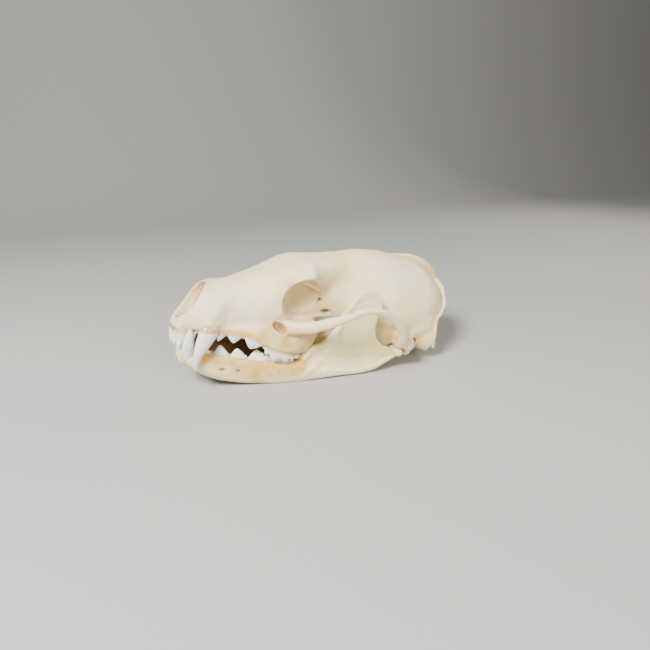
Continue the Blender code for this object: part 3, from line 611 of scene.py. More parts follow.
def loft(rows, power=2.3, count=90, sides=72):
    """Point (x, half breadth * across, belly + height * up) for each station x and ring angle."""
    across, up = squared_circle(sides, power)
    x, half, top, bottom, belly = refine(rows, count).T[:, :, None]
    z = belly + np.where(up > 0, top - belly, belly - bottom) * up
    return np.stack([x + 0 * across, half * across, z], axis=-1)


def bar(rows, count=90, sides=28, upright=UP, power=2.2):
    """Path point plus an oval across the path: thick * across * side + tall * up * lift."""
    table = refine(rows, count, by_first=False)
    ahead = unit(np.gradient(table[:, :3], axis=0))
    side = unit(np.cross(ahead, np.array(upright)))
    lift = np.cross(side, ahead)
    across, up = squared_circle(sides, power)
    thick, tall = table[:, 3, None, None], table[:, 4, None, None]
    oval = thick * across[:, None] * side[:, None] + tall * up[:, None] * lift[:, None]
    return table[:, None, :3] + oval


def crest(edge, hub, root_share, thickness, ruffle=0.0, count=160):
    """Flange between the line hub + share * (edge - hub) and the edge, thinner towards the edge.
    The edge runs in and out by ruffle times two sine waves of its length."""
    line = refine(edge, count, by_first=False)
    at = np.linspace(0.0, 1.0, count)[:, None]
    hub = np.where(np.isnan(hub), line, np.array(hub))
    wave = sum(np.sin(at * rate + start) * size for rate, start, size in RUFFLE_WAVES)
    line = line + unit(line - hub) * wave * ruffle * np.minimum(at * 12.0, 1.0)
    root = hub + (line - hub) * root_share
    face = unit(np.cross(np.gradient(line, axis=0), line - hub)) * thickness / 2
    near_side = np.array(CREST_SECTION)
    section = np.concatenate([near_side, near_side[::-1] * np.array([1.0, -1.0])])
    share, width = section.T[:, None, :, None]
    return root[:, None] + (line - root)[:, None] * share + face[:, None] * width


def lump(shape, turn=(0.0, 0.0, 0.0), rings=48, sides=64):
    """Ellipsoid: half sizes times (cos b cos a, cos b sin a, sin b), turned by angles in degrees."""
    centre, half = shape
    b = np.linspace(-np.pi / 2, np.pi / 2, rings + 2)[1:-1, None]
    a = np.arange(sides)[None] * 2 * np.pi / sides
    ball = np.stack([np.cos(b) * np.cos(a), np.cos(b) * np.sin(a), np.sin(b) + 0 * a], axis=-1)
    turned = Matrix.Rotation(math.radians(turn[2]), 3, "Z")
    turned = turned @ Matrix.Rotation(math.radians(turn[1]), 3, "Y")
    turned = turned @ Matrix.Rotation(math.radians(turn[0]), 3, "X")
    return np.array(centre) + (ball * np.array(half)) @ np.array(turned).T


def other_side(grid):
    """Mirror image across the middle plane, with its rings turned round so that it faces outwards."""
    return (grid * np.array([1.0, -1.0, 1.0]))[:, ::-1]


def both_sides(grids):
    """The left grids, then their mirror images."""
    return grids + [other_side(grid) for grid in grids]


def closed_faces(rings, sides, start):
    """Quads between neighbouring rings and one flat face on each end, counted from a first point."""
    ring = np.arange(rings - 1)[:, None] * sides + start
    k = np.arange(sides)[None]
    after = (k + 1) % sides
    quads = np.stack([ring + k, ring + after, ring + sides + after, ring + sides + k], axis=-1)
    first = list(range(start + sides - 1, start - 1, -1))
    last = list(range(start + (rings - 1) * sides, start + rings * sides))
    return quads.reshape(-1, 4).tolist() + [first, last]


def solid(name, grids):
    """One object from closed grids of rings, each turned so that its faces point outwards."""
    points, faces, start = [], [], 0
    for grid in grids:
        rings, sides = grid.shape[:2]
        middle = grid.mean(axis=1)
        ahead = middle[-1] - middle[0]
        spin = np.cross(grid[rings // 2, 0] - middle[rings // 2], grid[rings // 2, 1] - middle[rings // 2])
        grid = grid if spin @ ahead > 0 else grid[:, ::-1]
        points.append(grid.reshape(-1, 3))
        faces += closed_faces(rings, sides, start)
        start += rings * sides
    mesh = bpy.data.meshes.new(name)
    mesh.from_pydata(np.concatenate(points).tolist(), [], faces)
    made = bpy.data.objects.new(name, mesh)
    bpy.context.scene.collection.objects.link(made)
    return made


def apply_modifiers(thing):
    """Turns what the modifiers show into the object's own mesh."""
    shown = thing.evaluated_get(bpy.context.evaluated_depsgraph_get())
    settled = bpy.data.meshes.new_from_object(shown)
    thing.modifiers.clear()
    old = thing.data
    thing.data = settled
    bpy.data.meshes.remove(old)


def fuse(thing, voxel):
    """Melts bodies that run through each other into one even skin."""
    remesh = thing.modifiers.new("fuse", "REMESH")
    remesh.mode = "VOXEL"
    remesh.voxel_size = voxel
    apply_modifiers(thing)


def cut(thing, grids):
    """Takes closed grids out of a body, fused into one cutter first because they run through each other."""
    cutter = solid("cutter", grids)
    fuse(cutter, CUTTER_VOXEL)
    step = thing.modifiers.new("cut", "BOOLEAN")
    step.operation = "DIFFERENCE"
    step.object = cutter
    step.solver = "EXACT"
    apply_modifiers(thing)
    bpy.data.objects.remove(cutter)


def add_to(thing, grids):
    """Puts more closed grids into the body's mesh, to be fused with it next."""
    extra = solid("extra", grids)
    joined = bmesh.new()
    joined.from_mesh(thing.data)
    joined.from_mesh(extra.data)
    joined.to_mesh(thing.data)
    joined.free()
    bpy.data.objects.remove(extra)


def thin_out(thing, triangles):
    """Leaves at most so many triangles, fewest where the surface is flat."""
    faces = sum(len(face.vertices) - 2 for face in thing.data.polygons)
    if faces > triangles:
        decimate = thing.modifiers.new("thin out", "DECIMATE")
        decimate.ratio = triangles / faces
        apply_modifiers(thing)


class Skin:
    """Points of a mesh as one array, with the neighbours that smoothing needs."""

    def __init__(self, thing):
        self.mesh = thing.data
        count = len(self.mesh.vertices)
        flat = np.empty(count * 3, np.float32)
        self.mesh.vertices.foreach_get("co", flat)
        self.points = flat.reshape(-1, 3).astype(float)
        pairs = np.empty(len(self.mesh.edges) * 2, np.int32)
        self.mesh.edges.foreach_get("vertices", pairs)
        pairs = pairs.reshape(-1, 2)
        self.ends = np.concatenate([pairs[:, 0], pairs[:, 1]])
        self.others = np.concatenate([pairs[:, 1], pairs[:, 0]])
        self.links = np.maximum(np.bincount(self.ends, minlength=count), 1)[:, None]

    def mean_of_neighbours(self, values):
        """Mean of each point's neighbours, for an array with a row for each point."""
        columns = [np.bincount(self.ends, column[self.others], len(values)) for column in values.T]
        return np.stack(columns, axis=1) / self.links

    def soften(self, passes, share=0.5, undo=0.0):
        """Moves each point towards its neighbours' mean, then part of the way back."""
        for _ in range(passes):
            self.points += (self.mean_of_neighbours(self.points) - self.points) * share
            if undo:
                self.points -= (self.mean_of_neighbours(self.points) - self.points) * undo

    def normals(self):
        """Outward direction at each point."""
        self.write()
        flat = np.empty(len(self.points) * 3, np.float32)
        self.mesh.vertex_normals.foreach_get("vector", flat)
        return flat.reshape(-1, 3).astype(float)

    def write(self):
        """Puts the points back into the mesh."""
        self.mesh.vertices.foreach_set("co", self.points.astype(np.float32).ravel())
        self.mesh.update()

    def keep(self, name, values):
        """Stores one number for each point, for the material to read."""
        store = self.mesh.attributes.new(name, "FLOAT", "POINT")
        store.data.foreach_set("value", values.astype(np.float32))


def folded(points):
    """The same points with both sides laid on the left one."""
    return points * np.array([1.0, 0.0, 1.0]) - np.abs(points) * np.array([0.0, 1.0, 0.0])


def away_from_line(points, line, count=60):
    """Distance of each point from a smooth line through a few places."""
    route = refine(line, count, by_first=False)[:, :3]
    start, along = route[:-1], np.diff(route, axis=0)
    best = np.full(len(points), np.inf)
    near = np.nonzero(np.all((points > route.min(0) - 6.0) & (points < route.max(0) + 6.0), axis=1))[0]
    for a, step in zip(start, along):
        offset = points[near] - a
        t = np.clip(offset @ step / (step @ step), 0.0, 1.0)
        gap = np.linalg.norm(offset - t[:, None] * step, axis=1)
        best[near] = np.minimum(best[near], gap)
    return best


def away_from(points, centre, half):
    """Distance from a centre, counted in half sizes of an ellipsoid."""
    return np.linalg.norm((points - np.array(centre)) / np.array(half), axis=1)


def step_down(values, low, high):
    """1 below low, 0 above high, with a smooth s-curve between."""
    t = np.clip((high - values) / (high - low), 0.0, 1.0)
    return t * t * (3 - 2 * t)


def rumple(points, size, seed):
    """Soft noise between about -1 and 1: five sine waves in fixed slanted directions."""
    total = np.zeros(len(points))
    for k in range(5):
        turn = seed * 1.7 + k * 2.4
        way = np.array([math.cos(turn), math.sin(turn * 1.3), math.cos(turn * 0.7 + 1.0)])
        total += np.sin(points @ way / size * (2.2 + 0.7 * k) + seed + k * 1.9)
    return total / 3.0


def relief(points, spots, ridges):
    """Height of bumps and dents: exp(-distance ** 2) round each spot and across each ridge line."""
    left = folded(points)
    height = np.zeros(len(points))
    for centre, half, size in spots:
        height += size * np.exp(-away_from(left, centre, half) ** 2)
    for line, width, size in ridges:
        height += size * np.exp(-(away_from_line(left, line) / width) ** 2)
    return height


def raise_skin(skin, spots, ridges, grain):
    """Moves the points along their normals by the relief and by a soft unevenness of the bone."""
    height = relief(skin.points, spots, ridges)
    coarse = grain * rumple(folded(skin.points), COARSE_SIZE, 1.0)
    height += coarse + grain * FINE_SHARE * rumple(skin.points, FINE_SIZE, 4.0)
    skin.points += skin.normals() * height[:, None]


def tint(left, spots):
    """Share of a tint: the strongest of the spots, each strength * exp(-distance ** 2)."""
    share = np.zeros(len(left))
    for centre, half, strength in spots:
        share = np.maximum(share, strength * np.exp(-away_from(left, centre, half) ** 2))
    return share


def keep_tints(skin, shade_spots, inside):
    """Stores the shares that the bone material mixes: stain with painted shade on the cheek, painted shade
    in hollows, a painted highlight on edges, painted deep shade in holes with stain and painted shade
    inside the mouth, painted shade in the eye socket, rosy tone, and painted shade in the nose. A hollow or
    an edge is where the skin lies below or above a much smoothed copy of itself."""
    left = folded(skin.points)
    stain_and_shade = tint(left, STAIN_AND_SHADE_SPOTS)
    for line, reach, strength in STAIN_LINES:
        stain_and_shade = np.maximum(stain_and_shade, strength * np.exp(-(away_from_line(left, line) / reach) ** 2))
    smooth = skin.points.copy()
    for _ in range(SMOOTHING_PASSES):
        smooth += (skin.mean_of_neighbours(smooth) - smooth) * SMOOTHING_SHARE
    sunk = np.sum((smooth - skin.points) * skin.normals(), axis=1)
    # Stain by the gums and on the jaw, with painted shade on the cheek under the arch
    skin.keep("stain_and_shade", np.clip(stain_and_shade * STAIN_AND_SHADE_GAIN, 0.0, 1.0))
    # Painted shade where the skin lies below its smoothed copy
    skin.keep("hollow_shade", np.clip(sunk / HOLLOW_DEPTH, 0.0, 1.0))
    # Painted highlight where the skin stands above its smoothed copy
    skin.keep("edge", np.clip(-sunk / EDGE_HEIGHT, 0.0, 1.0))
    # Painted deep shade in holes, and on the palate and the jaw's tongue side stain with painted shade
    skin.keep("deep_shade_and_stain", np.maximum(tint(left, shade_spots), inside))
    # Painted shade in the eye socket
    skin.keep("eye_socket_shade", tint(left, ((*EYE_SOCKET_SHADE, 1.0),)))
    skin.keep("rosy", tint(left, ((*SNOUT_TINT, 0.8),)))
    # Painted shade inside the nose, weaker on faces turned up
    not_facing_up = np.clip(1.2 - skin.normals()[:, 2], 0.0, 1.0)
    skin.keep("nose_shade", tint(left, ((*NOSE_SHADE, 1.0),)) * not_facing_up)


def palate_share(skin):
    """Share of the palate's inner side: low, between the tooth rows, and facing down or inwards."""
    left = folded(skin.points)
    row_x, row_y = np.array(TOOTH_ROW).T
    row = np.interp(left[:, 0], row_x, row_y)
    facing = skin.normals()[:, 2]
    low = step_down(left[:, 2], 1.0, 4.0) * step_down(left[:, 0], 40.0, 48.0)
    return low * step_down(-left[:, 1], -row - 1.0, -row + 1.2) * step_down(facing, -0.1, 0.5)


def tongue_share(skin):
    """Share of the jaw's inner side, which faces the middle plane, and of its upper edge, from behind
    the front teeth to the upright plate."""
    side = np.sign(-skin.points[:, 1]) * skin.normals()[:, 1]
    body = step_down(skin.points[:, 0], 42.0, 50.0) * step_down(-skin.points[:, 0], -9.0, -5.0)
    return body * step_down(-side, -0.45, 0.05)


def to_world(points):
    """Skull's frame to the shared frame: turned about y by REST_TILT, moved by REST_SHIFT, in metres."""
    turn = np.array(Matrix.Rotation(math.radians(REST_TILT), 3, "Y"))
    return (points @ turn.T + np.array([REST_SHIFT[0], 0.0, REST_SHIFT[1]])) * MM


# The upper skull


def cranium_forms():
    """The main masses: snout, forehead, wall between the eyes, cheeks, braincase, base and ear bulbs."""
    middle = [
        loft(SNOUT, 2.35),
        loft(FOREHEAD),
        loft(EYE_WALL),
        loft(CHEEK, 3.4),
        loft(BRAINCASE, 2.15),
        loft(SKULL_BASE, 2.6),
    ]
    return middle + both_sides([lump(EAR_BULB, EAR_BULB_TURN)])


def cranium_details():
    """Arches, crests, knobs, wings and tubes that the main masses carry."""
    left = [
        bar(CHEEK_ARCH, 160),
        crest(NUCHAL_EDGE, NUCHAL_HUB, NUCHAL_ROOT, CREST_THICKNESS, NUCHAL_RUFFLE),
        bar(MASTOID, 30),
        lump(JAW_SOCKET),
        lump(TEMPLE_WALL),
        bar(SOCKET_LIP, 40, upright=ACROSS),
        lump(MASTOID_SWELL),
        lump(OCCIPITAL_KNOB, OCCIPITAL_KNOB_TURN),
        lump(PAROCCIPITAL),
        bar(CANINE_ROOT, 30, upright=ACROSS),
        bar(EAR_TUBE, 12),
        bar(THROAT_WING, 30),
    ]
    return [crest(SAGITTAL_EDGE, SAGITTAL_HUB, SAGITTAL_ROOT, CREST_THICKNESS)] + both_sides(left)


def cranium_openings():
    """Hollows of nose, brain, throat, palate, cheek and ear, and the room of the jaw's joint, which is
    the condyle's radius and the joint's gap round its axis."""
    room, reach = CONDYLE_RADIUS + JOINT_GAP, CONDYLE_HALF_LENGTH + 1.0
    joint_room = (
        (CONDYLE_X, CONDYLE_Y - reach - 1.0, CONDYLE_Z, room * 0.9, room * 0.9),
        (CONDYLE_X, CONDYLE_Y, CONDYLE_Z, room, room),
        (CONDYLE_X, CONDYLE_Y + reach, CONDYLE_Z, room * 0.9, room * 0.9),
    )
    middle = [
        lump(NOSE_MOUTH, NOSE_MOUTH_TURN),
        lump(NOSE_PASSAGE),
        lump(BRAIN_DOOR),
        lump(THROAT_HOLLOW),
        lump(PALATE_VAULT, PALATE_VAULT_TURN),
    ]
    left = [
        lump(CHEEK_HOLE, CHEEK_HOLE_TURN),
        lump(EAR_HOLE),
        lump(LOWER_CANINE_NOTCH),
        bar(joint_room, 20),
    ]
    return middle + both_sides(left)


def make_cranium():
    """Masses fused and softened, eyes cut, details fused on, openings cut, then relief and tints."""
    skull = solid("skull_bone", cranium_forms())
    fuse(skull, VAULT_VOXEL)
    skin = Skin(skull)
    skin.soften(10)
    skin.write()
    cut(skull, both_sides([lump(EYE_HOLLOW), lump(EYE_FLOOR)]))
    add_to(skull, cranium_details())
    fuse(skull, BONE_VOXEL)
    skin = Skin(skull)
    skin.soften(6, undo=0.35)
    skin.write()
    cut(skull, cranium_openings())
    fuse(skull, BONE_VOXEL)
    skin = Skin(skull)
    skin.soften(4, undo=0.4)
    raise_skin(skin, SKULL_SPOTS, SKULL_RIDGES, SKULL_GRAIN)
    skin.write()
    thin_out(skull, MOST_TRIANGLES)
    skin = Skin(skull)
    keep_tints(skin, SHADE_SPOTS, palate_share(skin) * PALATE_STRENGTH)
    return skull


# The lower jaw


def ramus_plate():
    """Two sheets of the outline, set apart by the plate's thickness and bowed along the jaw's line."""
    outline = np.array(RAMUS_OUTLINE)
    line = np.array(RAMUS_LINE)
    middle = follow(line[:, 0], line[:, 1], outline[:, 0]) - RAMUS_LEAN * np.maximum(outline[:, 1], 0.0)
    side = np.array([-1.0, 1.0])[:, None] * RAMUS_HALF_THICKNESS
    sheet = np.stack([outline[:, 0], middle, outline[:, 1]], axis=-1)
    return sheet[None] + side[..., None] * np.array([0.0, 1.0, 0.0])


def jaw_body():
    """Point (x, middle + half thickness * across, height along the upright oval) for each station."""
    across, up = squared_circle(48, 2.3)
    x, y, half, top, bottom = refine(JAW_BODY, 110).T[:, :, None]
    z = (top + bottom) / 2 + up * (top - bottom) / 2
    return np.stack([x + 0 * across, y + half * across, z], axis=-1)


def ramus_rib():
    """Round bar on the front edge of the plate, on the same line and with the same lean."""
    line = np.array(RAMUS_LINE)
    x, z, radius = np.array(RAMUS_RIB).T
    y = follow(line[:, 0], line[:, 1], x) - RAMUS_LEAN * np.maximum(z, 0.0)
    return bar(np.stack([x, y, z, radius, radius], axis=1), 60, upright=ACROSS)


def jaw_condyle():
    """Bar across the jaw's rear end, in the middle of its joint, with rounded ends."""
    place, size = np.array(CONDYLE_ROUNDING).T
    y, radius = CONDYLE_Y + CONDYLE_HALF_LENGTH * place, CONDYLE_RADIUS * size
    return bar(np.stack([CONDYLE_X + 0 * y, y, CONDYLE_Z + 0 * y, radius, radius], axis=1), 30)


def make_left_jaw():
    """Left half: body, plate, rib, condyle and chin fused, with relief, kept off the middle plane."""
    jaw = solid("jaw_bone_left", [jaw_body(), ramus_plate(), ramus_rib(), jaw_condyle(), lump(SYMPHYSIS)])
    fuse(jaw, JAW_VOXEL)
    skin = Skin(jaw)
    skin.soften(10, undo=0.3)
    raise_skin(skin, JAW_SPOTS, JAW_RIDGES, JAW_GRAIN)
    skin.points[:, 1] = np.minimum(skin.points[:, 1], -HALF_JAW_GAP / 2)
    skin.write()
    keep_tints(skin, JAW_SHADE_SPOTS, tongue_share(skin) * TONGUE_STRENGTH)
    return jaw


def mirror_jaw(left_jaw):
    """Right half: the left one with y turned to minus y and its faces turned round."""
    right_jaw = left_jaw.copy()
    right_jaw.data = left_jaw.data.copy()
    right_jaw.name = "jaw_bone_right"
    right_jaw.data.transform(Matrix.Diagonal((1.0, -1.0, 1.0, 1.0)))
    right_jaw.data.flip_normals()
    bpy.context.scene.collection.objects.link(right_jaw)
    return right_jaw


# Teeth


def canine(rows, count=70, sides=36):
    """Tapered curved tusk with an oval section, closed by a rounded tip."""
    table = refine(rows, count, by_first=False)
    grid = bar(table, count, sides, ACROSS)
    tip = table[-1, :3] + unit(table[-1, :3] - table[-2, :3]) * table[-1, 3] * 0.5
    middle = table[-1, :3]
    ring = grid[-1] - middle
    cap = np.stack([middle + ring * 0.6 + (tip - middle) * 0.8, tip + ring * 0.05])
    return np.concatenate([grid, cap])


def crown(centre, heading, half_length, half_width, slope, lean, cusps, point_way, rings=28, sides=60):
    """Tooth over an oval foot: its height at (u, v) is the largest of several tents, height *
    (1 - along ** sharp) * (1 - across ** 1.9), over a low rounded collar, and a root tapers below it."""
    r = (np.linspace(0.0, 1.0, rings) ** 0.8)[1:, None]
    a = np.arange(sides)[None] * 2 * np.pi / sides
    u, v = r * np.cos(a), r * np.sin(a)
    height = COLLAR_HEIGHT * np.clip(1.0 - r ** 5, 0.0, 1.0) ** 0.5 + 0 * u
    for place, aside, tall, reach in cusps:
        side_reach = reach * (1.0 - place * np.sign(u - place))
        along = np.hypot(u - place, BLUNTNESS * reach) / side_reach
        across = np.abs(v - aside * 0.5) / 1.12
        sharp = BLADE_POWER if reach > BLADE_REACH else CUSP_POWER
        tent = np.clip(1.0 - along ** sharp, 0.0, 1.0) * np.clip(1.0 - across ** 1.9, 0.0, 1.0)
        height = np.maximum(height, tall * tent * np.clip(1.0 - r ** 9, 0.0, 1.0) ** 0.4)
    down = np.linspace(0.0, 1.0, 8)[1:, None]
    root_size = (1.0 - 0.26 * down ** 0.5 - 0.24 * down) * np.ones((1, sides))
    u = np.concatenate([u, np.cos(a) * root_size])
    v = np.concatenate([v, np.sin(a) * root_size])
    height = np.concatenate([height, -ROOT_DEPTH * down * np.ones((1, sides))])
    turn = math.radians(heading)
    along = np.array([math.cos(turn), math.sin(turn), slope])
    aside = np.array([math.sin(turn), -math.cos(turn), 0.0])
    way = np.array([-lean[0], -lean[1], point_way])
    flat = u[..., None] * half_length * along + v[..., None] * half_width * aside
    return np.array(centre) + flat + height[..., None] * way


def tint_tooth(tooth, jaw_name, rows, name, point_way):
    """Stores how near each point is to the gum, for a painted shadow line there, and whether it faces the
    tongue, for brown that is part stain and part painted shade.
    """
    skin = Skin(tooth)
    feet = {row[0]: (row[1][0], row[1][2], row[5]) for row in rows}
    x, z, slope = feet.get(name, CANINE_GUMS[jaw_name])
    rise = (skin.points[:, 2] - z - slope * (skin.points[:, 0] - x)) * point_way
    side = np.sign(-skin.points[:, 1]) * skin.normals()[:, 1]
    # Painted shadow line where the tooth meets the gum
    skin.keep("gum_shadow", step_down(rise, *GUM_SHADOW_FADE))
    cheek_tooth = 0.0 if name.startswith(("incisor", "canine")) else 1.0
    # Stain with painted shade on the tongue side of the cheek teeth
    skin.keep("inner_shade_and_stain", step_down(-side, -0.6, 0.1) * cheek_tooth)


def make_teeth(jaw_name, rows, canine_rows, point_way):
    """Teeth of one side and its mirror image, each tooth one closed body, pointing down or up."""
    teeth = [(name, crown(*shape, point_way)) for name, *shape in rows]
    teeth.append(("canine", canine(canine_rows)))
    made = []
    for name, grid in teeth:
        for side, shape in (("left", grid), ("right", other_side(grid))):
            tooth = solid(f"{jaw_name}_{name}_{side}", [shape])
            tint_tooth(tooth, jaw_name, rows, name, point_way)
            made.append(tooth)
    return made


# Inside the nose


def nose_scroll():
    """Fluted core along the passage: a ring (cos a, sin a) whose radius swings by cos(flutes * a)."""
    x = np.linspace(*SCROLL_ENDS, 60)[:, None]
    sides = SCROLL_FLUTES * 12
    a = np.arange(sides)[None] * 2 * np.pi / sides
    share = (x - x[0]) / (x[-1] - x[0])
    swell = np.sqrt(np.clip(1.0 - (2.0 * share - 1.0) ** 4, 0.004, 1.0))
    wave = np.cos(SCROLL_FLUTES * a + 2.2 * np.sin(share * 5.0)) * np.minimum(share * 5.0, 1.0)
    radius = swell * (1.0 + FLUTE_DEPTH * wave)
    y = SCROLL_MIDDLE[0] + SCROLL_HALF_SIZES[0] * radius * np.cos(a)
    z = SCROLL_MIDDLE[1] + SCROLL_RISE * share + SCROLL_HALF_SIZES[1] * radius * np.sin(a)
    return np.stack([x + 0 * a, y, z], axis=-1)


def make_nose():
    """Two scrolls and the thin upright wall between them, from the nose's floor to its roof."""
    scroll = nose_scroll()
    made = [
        solid("nose_scroll_left", [scroll]),
        solid("nose_scroll_right", [other_side(scroll)]),
        solid("nose_wall", [bar(NOSE_WALL, 24, sides=20, power=3.0)]),
    ]
    for piece in made:
        skin = Skin(piece)
        # Painted shade over the whole inside of the nose
        skin.keep("nose_shade", np.ones(len(skin.points)))
    return made


# Materials


def new_material(name):
    """A material with its node tree and its shader."""
    material = bpy.data.materials.new(name)
    material.use_nodes = True
    return material, material.node_tree, material.node_tree.nodes["Principled BSDF"]


def set_inputs(thing, values):
    """Sets each named input of a node."""
    for name, value in values.items():
        thing.inputs[name].default_value = value


def node(tree, kind, **settings):
    """New node of a kind, with its own settings."""
    made = tree.nodes.new(kind)
    for name, value in settings.items():
        setattr(made, name, value)
    return made


def share_of(tree, name):
    """Share that a skin keeps for each of its points."""
    return node(tree, "ShaderNodeAttribute", attribute_name=name).outputs["Fac"]


def pattern(tree, scale, detail=4.0, roughness=0.55, low=0.35, high=0.65):
    """Cloudy pattern on Object coordinates, stretched so that low is 0 and high is 1."""
    place = node(tree, "ShaderNodeTexCoord").outputs["Object"]
    cloud = node(tree, "ShaderNodeTexNoise")
    set_inputs(cloud, {"Scale": scale, "Detail": detail, "Roughness": roughness})
    tree.links.new(place, cloud.inputs["Vector"])
    spread = node(tree, "ShaderNodeMapRange")
    set_inputs(spread, {"From Min": low, "From Max": high})
    tree.links.new(cloud.outputs["Fac"], spread.inputs["Value"])
    return spread.outputs["Result"]


def sums(tree, operation, first, second):
    """One sum of two values, each a number or another node's output, kept between 0 and 1."""
    made = node(tree, "ShaderNodeMath", operation=operation, use_clamp=True)
    for socket, value in zip(made.inputs, (first, second)):
        if isinstance(value, float):
            socket.default_value = value
        else:
            tree.links.new(value, socket)
    return made.outputs["Value"]


def tinted(tree, below, share, colour):
    """Colour laid over what is below it, as far as the share goes."""
    made = node(tree, "ShaderNodeMix", data_type="RGBA")
    tree.links.new(share, made.inputs["Factor"])
    if isinstance(below, tuple):
        made.inputs[6].default_value = (*below, 1.0)
    else:
        tree.links.new(below, made.inputs[6])
    made.inputs[7].default_value = (*colour, 1.0)
    return made.outputs[2]


def layered(tree, ground, layers):
    """Ground colour with layers over it in turn, each as far as its share times its strength goes."""
    colour = ground
    for share, strength, tone in layers:
        colour = tinted(tree, colour, sums(tree, "MULTIPLY", share, strength), tone)
    return colour


def bumped(tree, shader, heights):
    """Stacks bump nodes, each from a pattern with its depth in metres and its strength."""
    before = None
    for height, depth, strength in heights:
        bump = node(tree, "ShaderNodeBump")
        set_inputs(bump, {"Distance": depth, "Strength": strength})
        tree.links.new(height, bump.inputs["Height"])
        if before:
            tree.links.new(before, bump.inputs["Normal"])
        before = bump.outputs["Normal"]
    tree.links.new(before, shader.inputs["Normal"])


def bone_material():
    """Bleached bone: warm white with cloudy cream, ochre stain by the gums with painted shade on the cheek,
    painted tan and brown shade in hollows, eye sockets, nose and holes, a painted highlight on edges, and
    fine pores.
    """
    material, tree, shader = new_material("clean_bone")
    patches = pattern(tree, 210.0, low=0.38, high=0.66)
    specks = pattern(tree, 900.0, detail=2.0, low=0.68, high=0.76)
    spread = sums(tree, "ADD", sums(tree, "MULTIPLY", patches, 0.5), 0.6)
    layers = (
        (pattern(tree, 70.0), 1.0, CLOUDY_CREAM),
        (pattern(tree, 480.0, detail=3.0, low=0.48, high=0.74), 0.4, MOTTLED_TAN),
        (share_of(tree, "rosy"), 0.7, ROSY_WHITE),
        # Painted shade in the eye socket
        (share_of(tree, "eye_socket_shade"), 0.75, SOCKET_SHADE_TAN),
        # Stain by the gums and on the jaw, with painted shade on the cheek under the arch
        (sums(tree, "MULTIPLY", share_of(tree, "stain_and_shade"), spread), 1.0, OCHRE_STAIN_AND_SHADE),
        # Painted shade in hollows
        (share_of(tree, "hollow_shade"), 0.85, HOLLOW_SHADE_BROWN),
        # Painted shade inside the nose
        (share_of(tree, "nose_shade"), 1.0, NOSE_SHADE_ORANGE),
        # Painted highlight on raised edges
        (share_of(tree, "edge"), 0.4, EDGE_HIGHLIGHT_WHITE),
        (specks, 0.22, PORE_BROWN),
        # Painted deep shade in holes, and stain with painted shade inside the mouth
        (share_of(tree, "deep_shade_and_stain"), 1.0, DEEP_SHADE_AND_STAIN_BROWN),
    )
    tree.links.new(layered(tree, WARM_WHITE, layers), shader.inputs["Base Color"])
    rough = sums(tree, "ADD", sums(tree, "MULTIPLY", patches, 0.2), 0.5)
    tree.links.new(rough, shader.inputs["Roughness"])
    set_inputs(
        shader,
        {
            "Subsurface Weight": 0.18,
            "Subsurface Radius": (1.0, 0.6, 0.35),
            "Subsurface Scale": 0.0012,
        },
    )
    ripple = pattern(tree, 420.0, low=0.2, high=0.8)
    grain = pattern(tree, 2600.0, detail=3.0, low=0.2, high=0.8)
    bumped(tree, shader, ((ripple, 0.00016, 0.6), (grain, 0.00006, 0.6), (specks, -0.0001, 0.4)))
    return material


def enamel_material():
    """Glossy white enamel with creamy clouds and faint ripples, a painted brown shadow by the gum, and
    inside the mouth brown that is part stain and part painted shade.
    """
    material, tree, shader = new_material("tooth_enamel")
    layers = (
        (pattern(tree, 260.0), 1.0, ENAMEL_CREAM),
        # Painted shadow line where the tooth meets the gum
        (share_of(tree, "gum_shadow"), 0.8, GUM_SHADOW_BROWN),
        # Stain with painted shade on the tongue side of the cheek teeth
        (share_of(tree, "inner_shade_and_stain"), 0.8, TONGUE_SHADE_AND_STAIN_BROWN),
    )
    tree.links.new(layered(tree, ENAMEL_WHITE, layers), shader.inputs["Base Color"])
    set_inputs(
        shader,
        {
            "Roughness": 0.2,
            "Coat Weight": 0.25,
            "Coat Roughness": 0.1,
            "Subsurface Weight": 0.2,
            "Subsurface Scale": 0.001,
        },
    )
    ripple = pattern(tree, 700.0, low=0.2, high=0.8)
    bumped(tree, shader, ((ripple, 0.00005, 0.5),))
    return material


# Studio


def make_floor():
    """Pale floor: even steps of (cos bend, sin bend) that curve up into a backdrop behind the skull."""
    along = np.linspace(0.0, 1.0, FLOOR_ROWS)
    bend = np.clip((along - BEND_START) / BEND_LENGTH, 0.0, 1.0) * np.pi / 2
    step = FLOOR_LENGTH / (FLOOR_ROWS - 1)
    y = FLOOR_FRONT + np.concatenate([[0.0], np.cumsum(np.cos(bend[1:]) * step)])
    z = np.concatenate([[0.0], np.cumsum(np.sin(bend[1:]) * step)])
    x = np.linspace(-FLOOR_HALF_WIDTH, FLOOR_HALF_WIDTH, FLOOR_COLUMNS)
    grid = np.stack(np.broadcast_arrays(x[None], y[:, None], z[:, None]), axis=-1)
    corner = np.arange(FLOOR_ROWS - 1)[:, None] * FLOOR_COLUMNS + np.arange(FLOOR_COLUMNS - 1)[None]
    behind = corner + FLOOR_COLUMNS
    faces = np.stack([corner, corner + 1, behind + 1, behind], axis=-1).reshape(-1, 4)
    mesh = bpy.data.meshes.new("studio_floor")
    mesh.from_pydata(grid.reshape(-1, 3).tolist(), [], faces.tolist())
    mesh.shade_smooth()
    floor = bpy.data.objects.new("studio_floor", mesh)
    bpy.context.scene.collection.objects.link(floor)
    material, _, shader = new_material("pale_floor")
    set_inputs(shader, {"Base Color": (*FLOOR_GREY, 1.0), "Roughness": 0.7})
    mesh.materials.append(material)


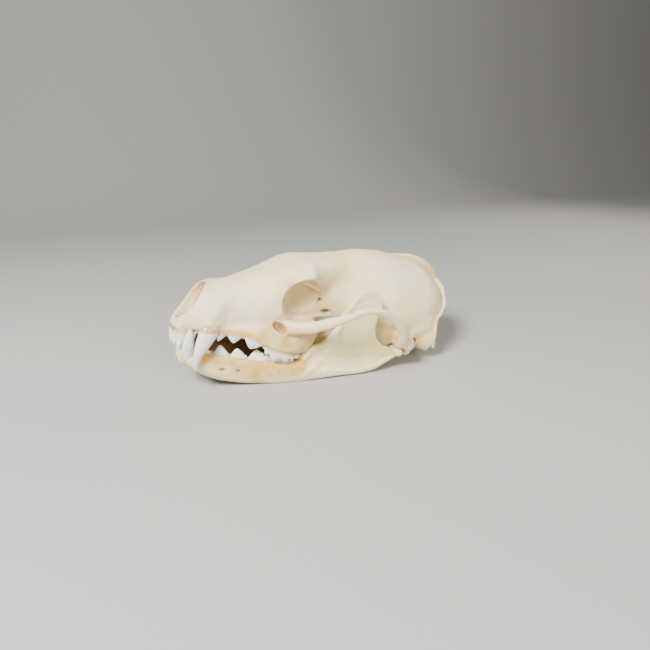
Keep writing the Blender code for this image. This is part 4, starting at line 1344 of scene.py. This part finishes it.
def make_lights():
    """Soft square lights turned to the skull, and a dim even room."""
    for name, place, size, power, colour in SOFT_LIGHTS:
        lamp = bpy.data.lights.new(name, "AREA")
        lamp.size = size
        lamp.energy = power
        lamp.color = colour
        made = bpy.data.objects.new(name, lamp)
        made.location = place
        made.rotation_euler = (Vector(LIT_PLACE) - Vector(place)).to_track_quat("-Z", "Y").to_euler()
        bpy.context.scene.collection.objects.link(made)
    world = bpy.data.worlds.new("studio")
    world.use_nodes = True
    room = {"Color": (*ROOM_COLOUR, 1.0), "Strength": ROOM_STRENGTH}
    set_inputs(world.node_tree.nodes["Background"], room)
    bpy.context.scene.world = world


def make_camera():
    """Camera where the photographer's stood, turned by yaw, pitch and roll."""
    lens = bpy.data.cameras.new("photo_camera")
    lens.sensor_width = SENSOR_WIDTH
    lens.lens = FOCAL_LENGTH * SENSOR_WIDTH / PICTURE_WIDTH
    lens.clip_start = 0.01
    camera = bpy.data.objects.new("photo_camera", lens)
    turn = Matrix.Rotation(math.radians(-CAMERA_YAW), 4, "Z")
    turn = turn @ Matrix.Rotation(math.radians(90.0 + CAMERA_PITCH), 4, "X")
    turn = turn @ Matrix.Rotation(math.radians(CAMERA_ROLL), 4, "Z")
    camera.matrix_world = Matrix.Translation(CAMERA_PLACE) @ turn
    bpy.context.scene.collection.objects.link(camera)
    bpy.context.scene.camera = camera


def finish_piece(piece, material):
    """Tilts the piece to rest, in metres, gives it its finish and lets it ride on the skull."""
    skin = Skin(piece)
    skin.points = to_world(skin.points)
    skin.points[:, 2] = np.maximum(skin.points[:, 2], FLOOR_CLEARANCE)
    skin.write()
    piece.data.materials.clear()
    piece.data.materials.append(material)
    piece.data.shade_smooth()
    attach(piece, "root")


def main():
    """Makes every piece and lets it ride on the skull."""
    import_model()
    make_camera()
    make_floor()
    make_lights()
    bone, enamel = bone_material(), enamel_material()
    skull = make_cranium()
    left_jaw = make_left_jaw()
    right_jaw = mirror_jaw(left_jaw)
    upper = make_teeth("upper", UPPER_TEETH, UPPER_CANINE, -1.0)
    lower = make_teeth("lower", LOWER_TEETH, LOWER_CANINE, 1.0)
    finish_piece(skull, bone)
    finish_piece(left_jaw, bone)
    finish_piece(right_jaw, bone)
    for piece in make_nose():
        finish_piece(piece, bone)
    for tooth in upper:
        finish_piece(tooth, enamel)
    for tooth in lower:
        finish_piece(tooth, enamel)
    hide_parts("cranium")
    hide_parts("mandible_left")
    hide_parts("mandible_right")


main()
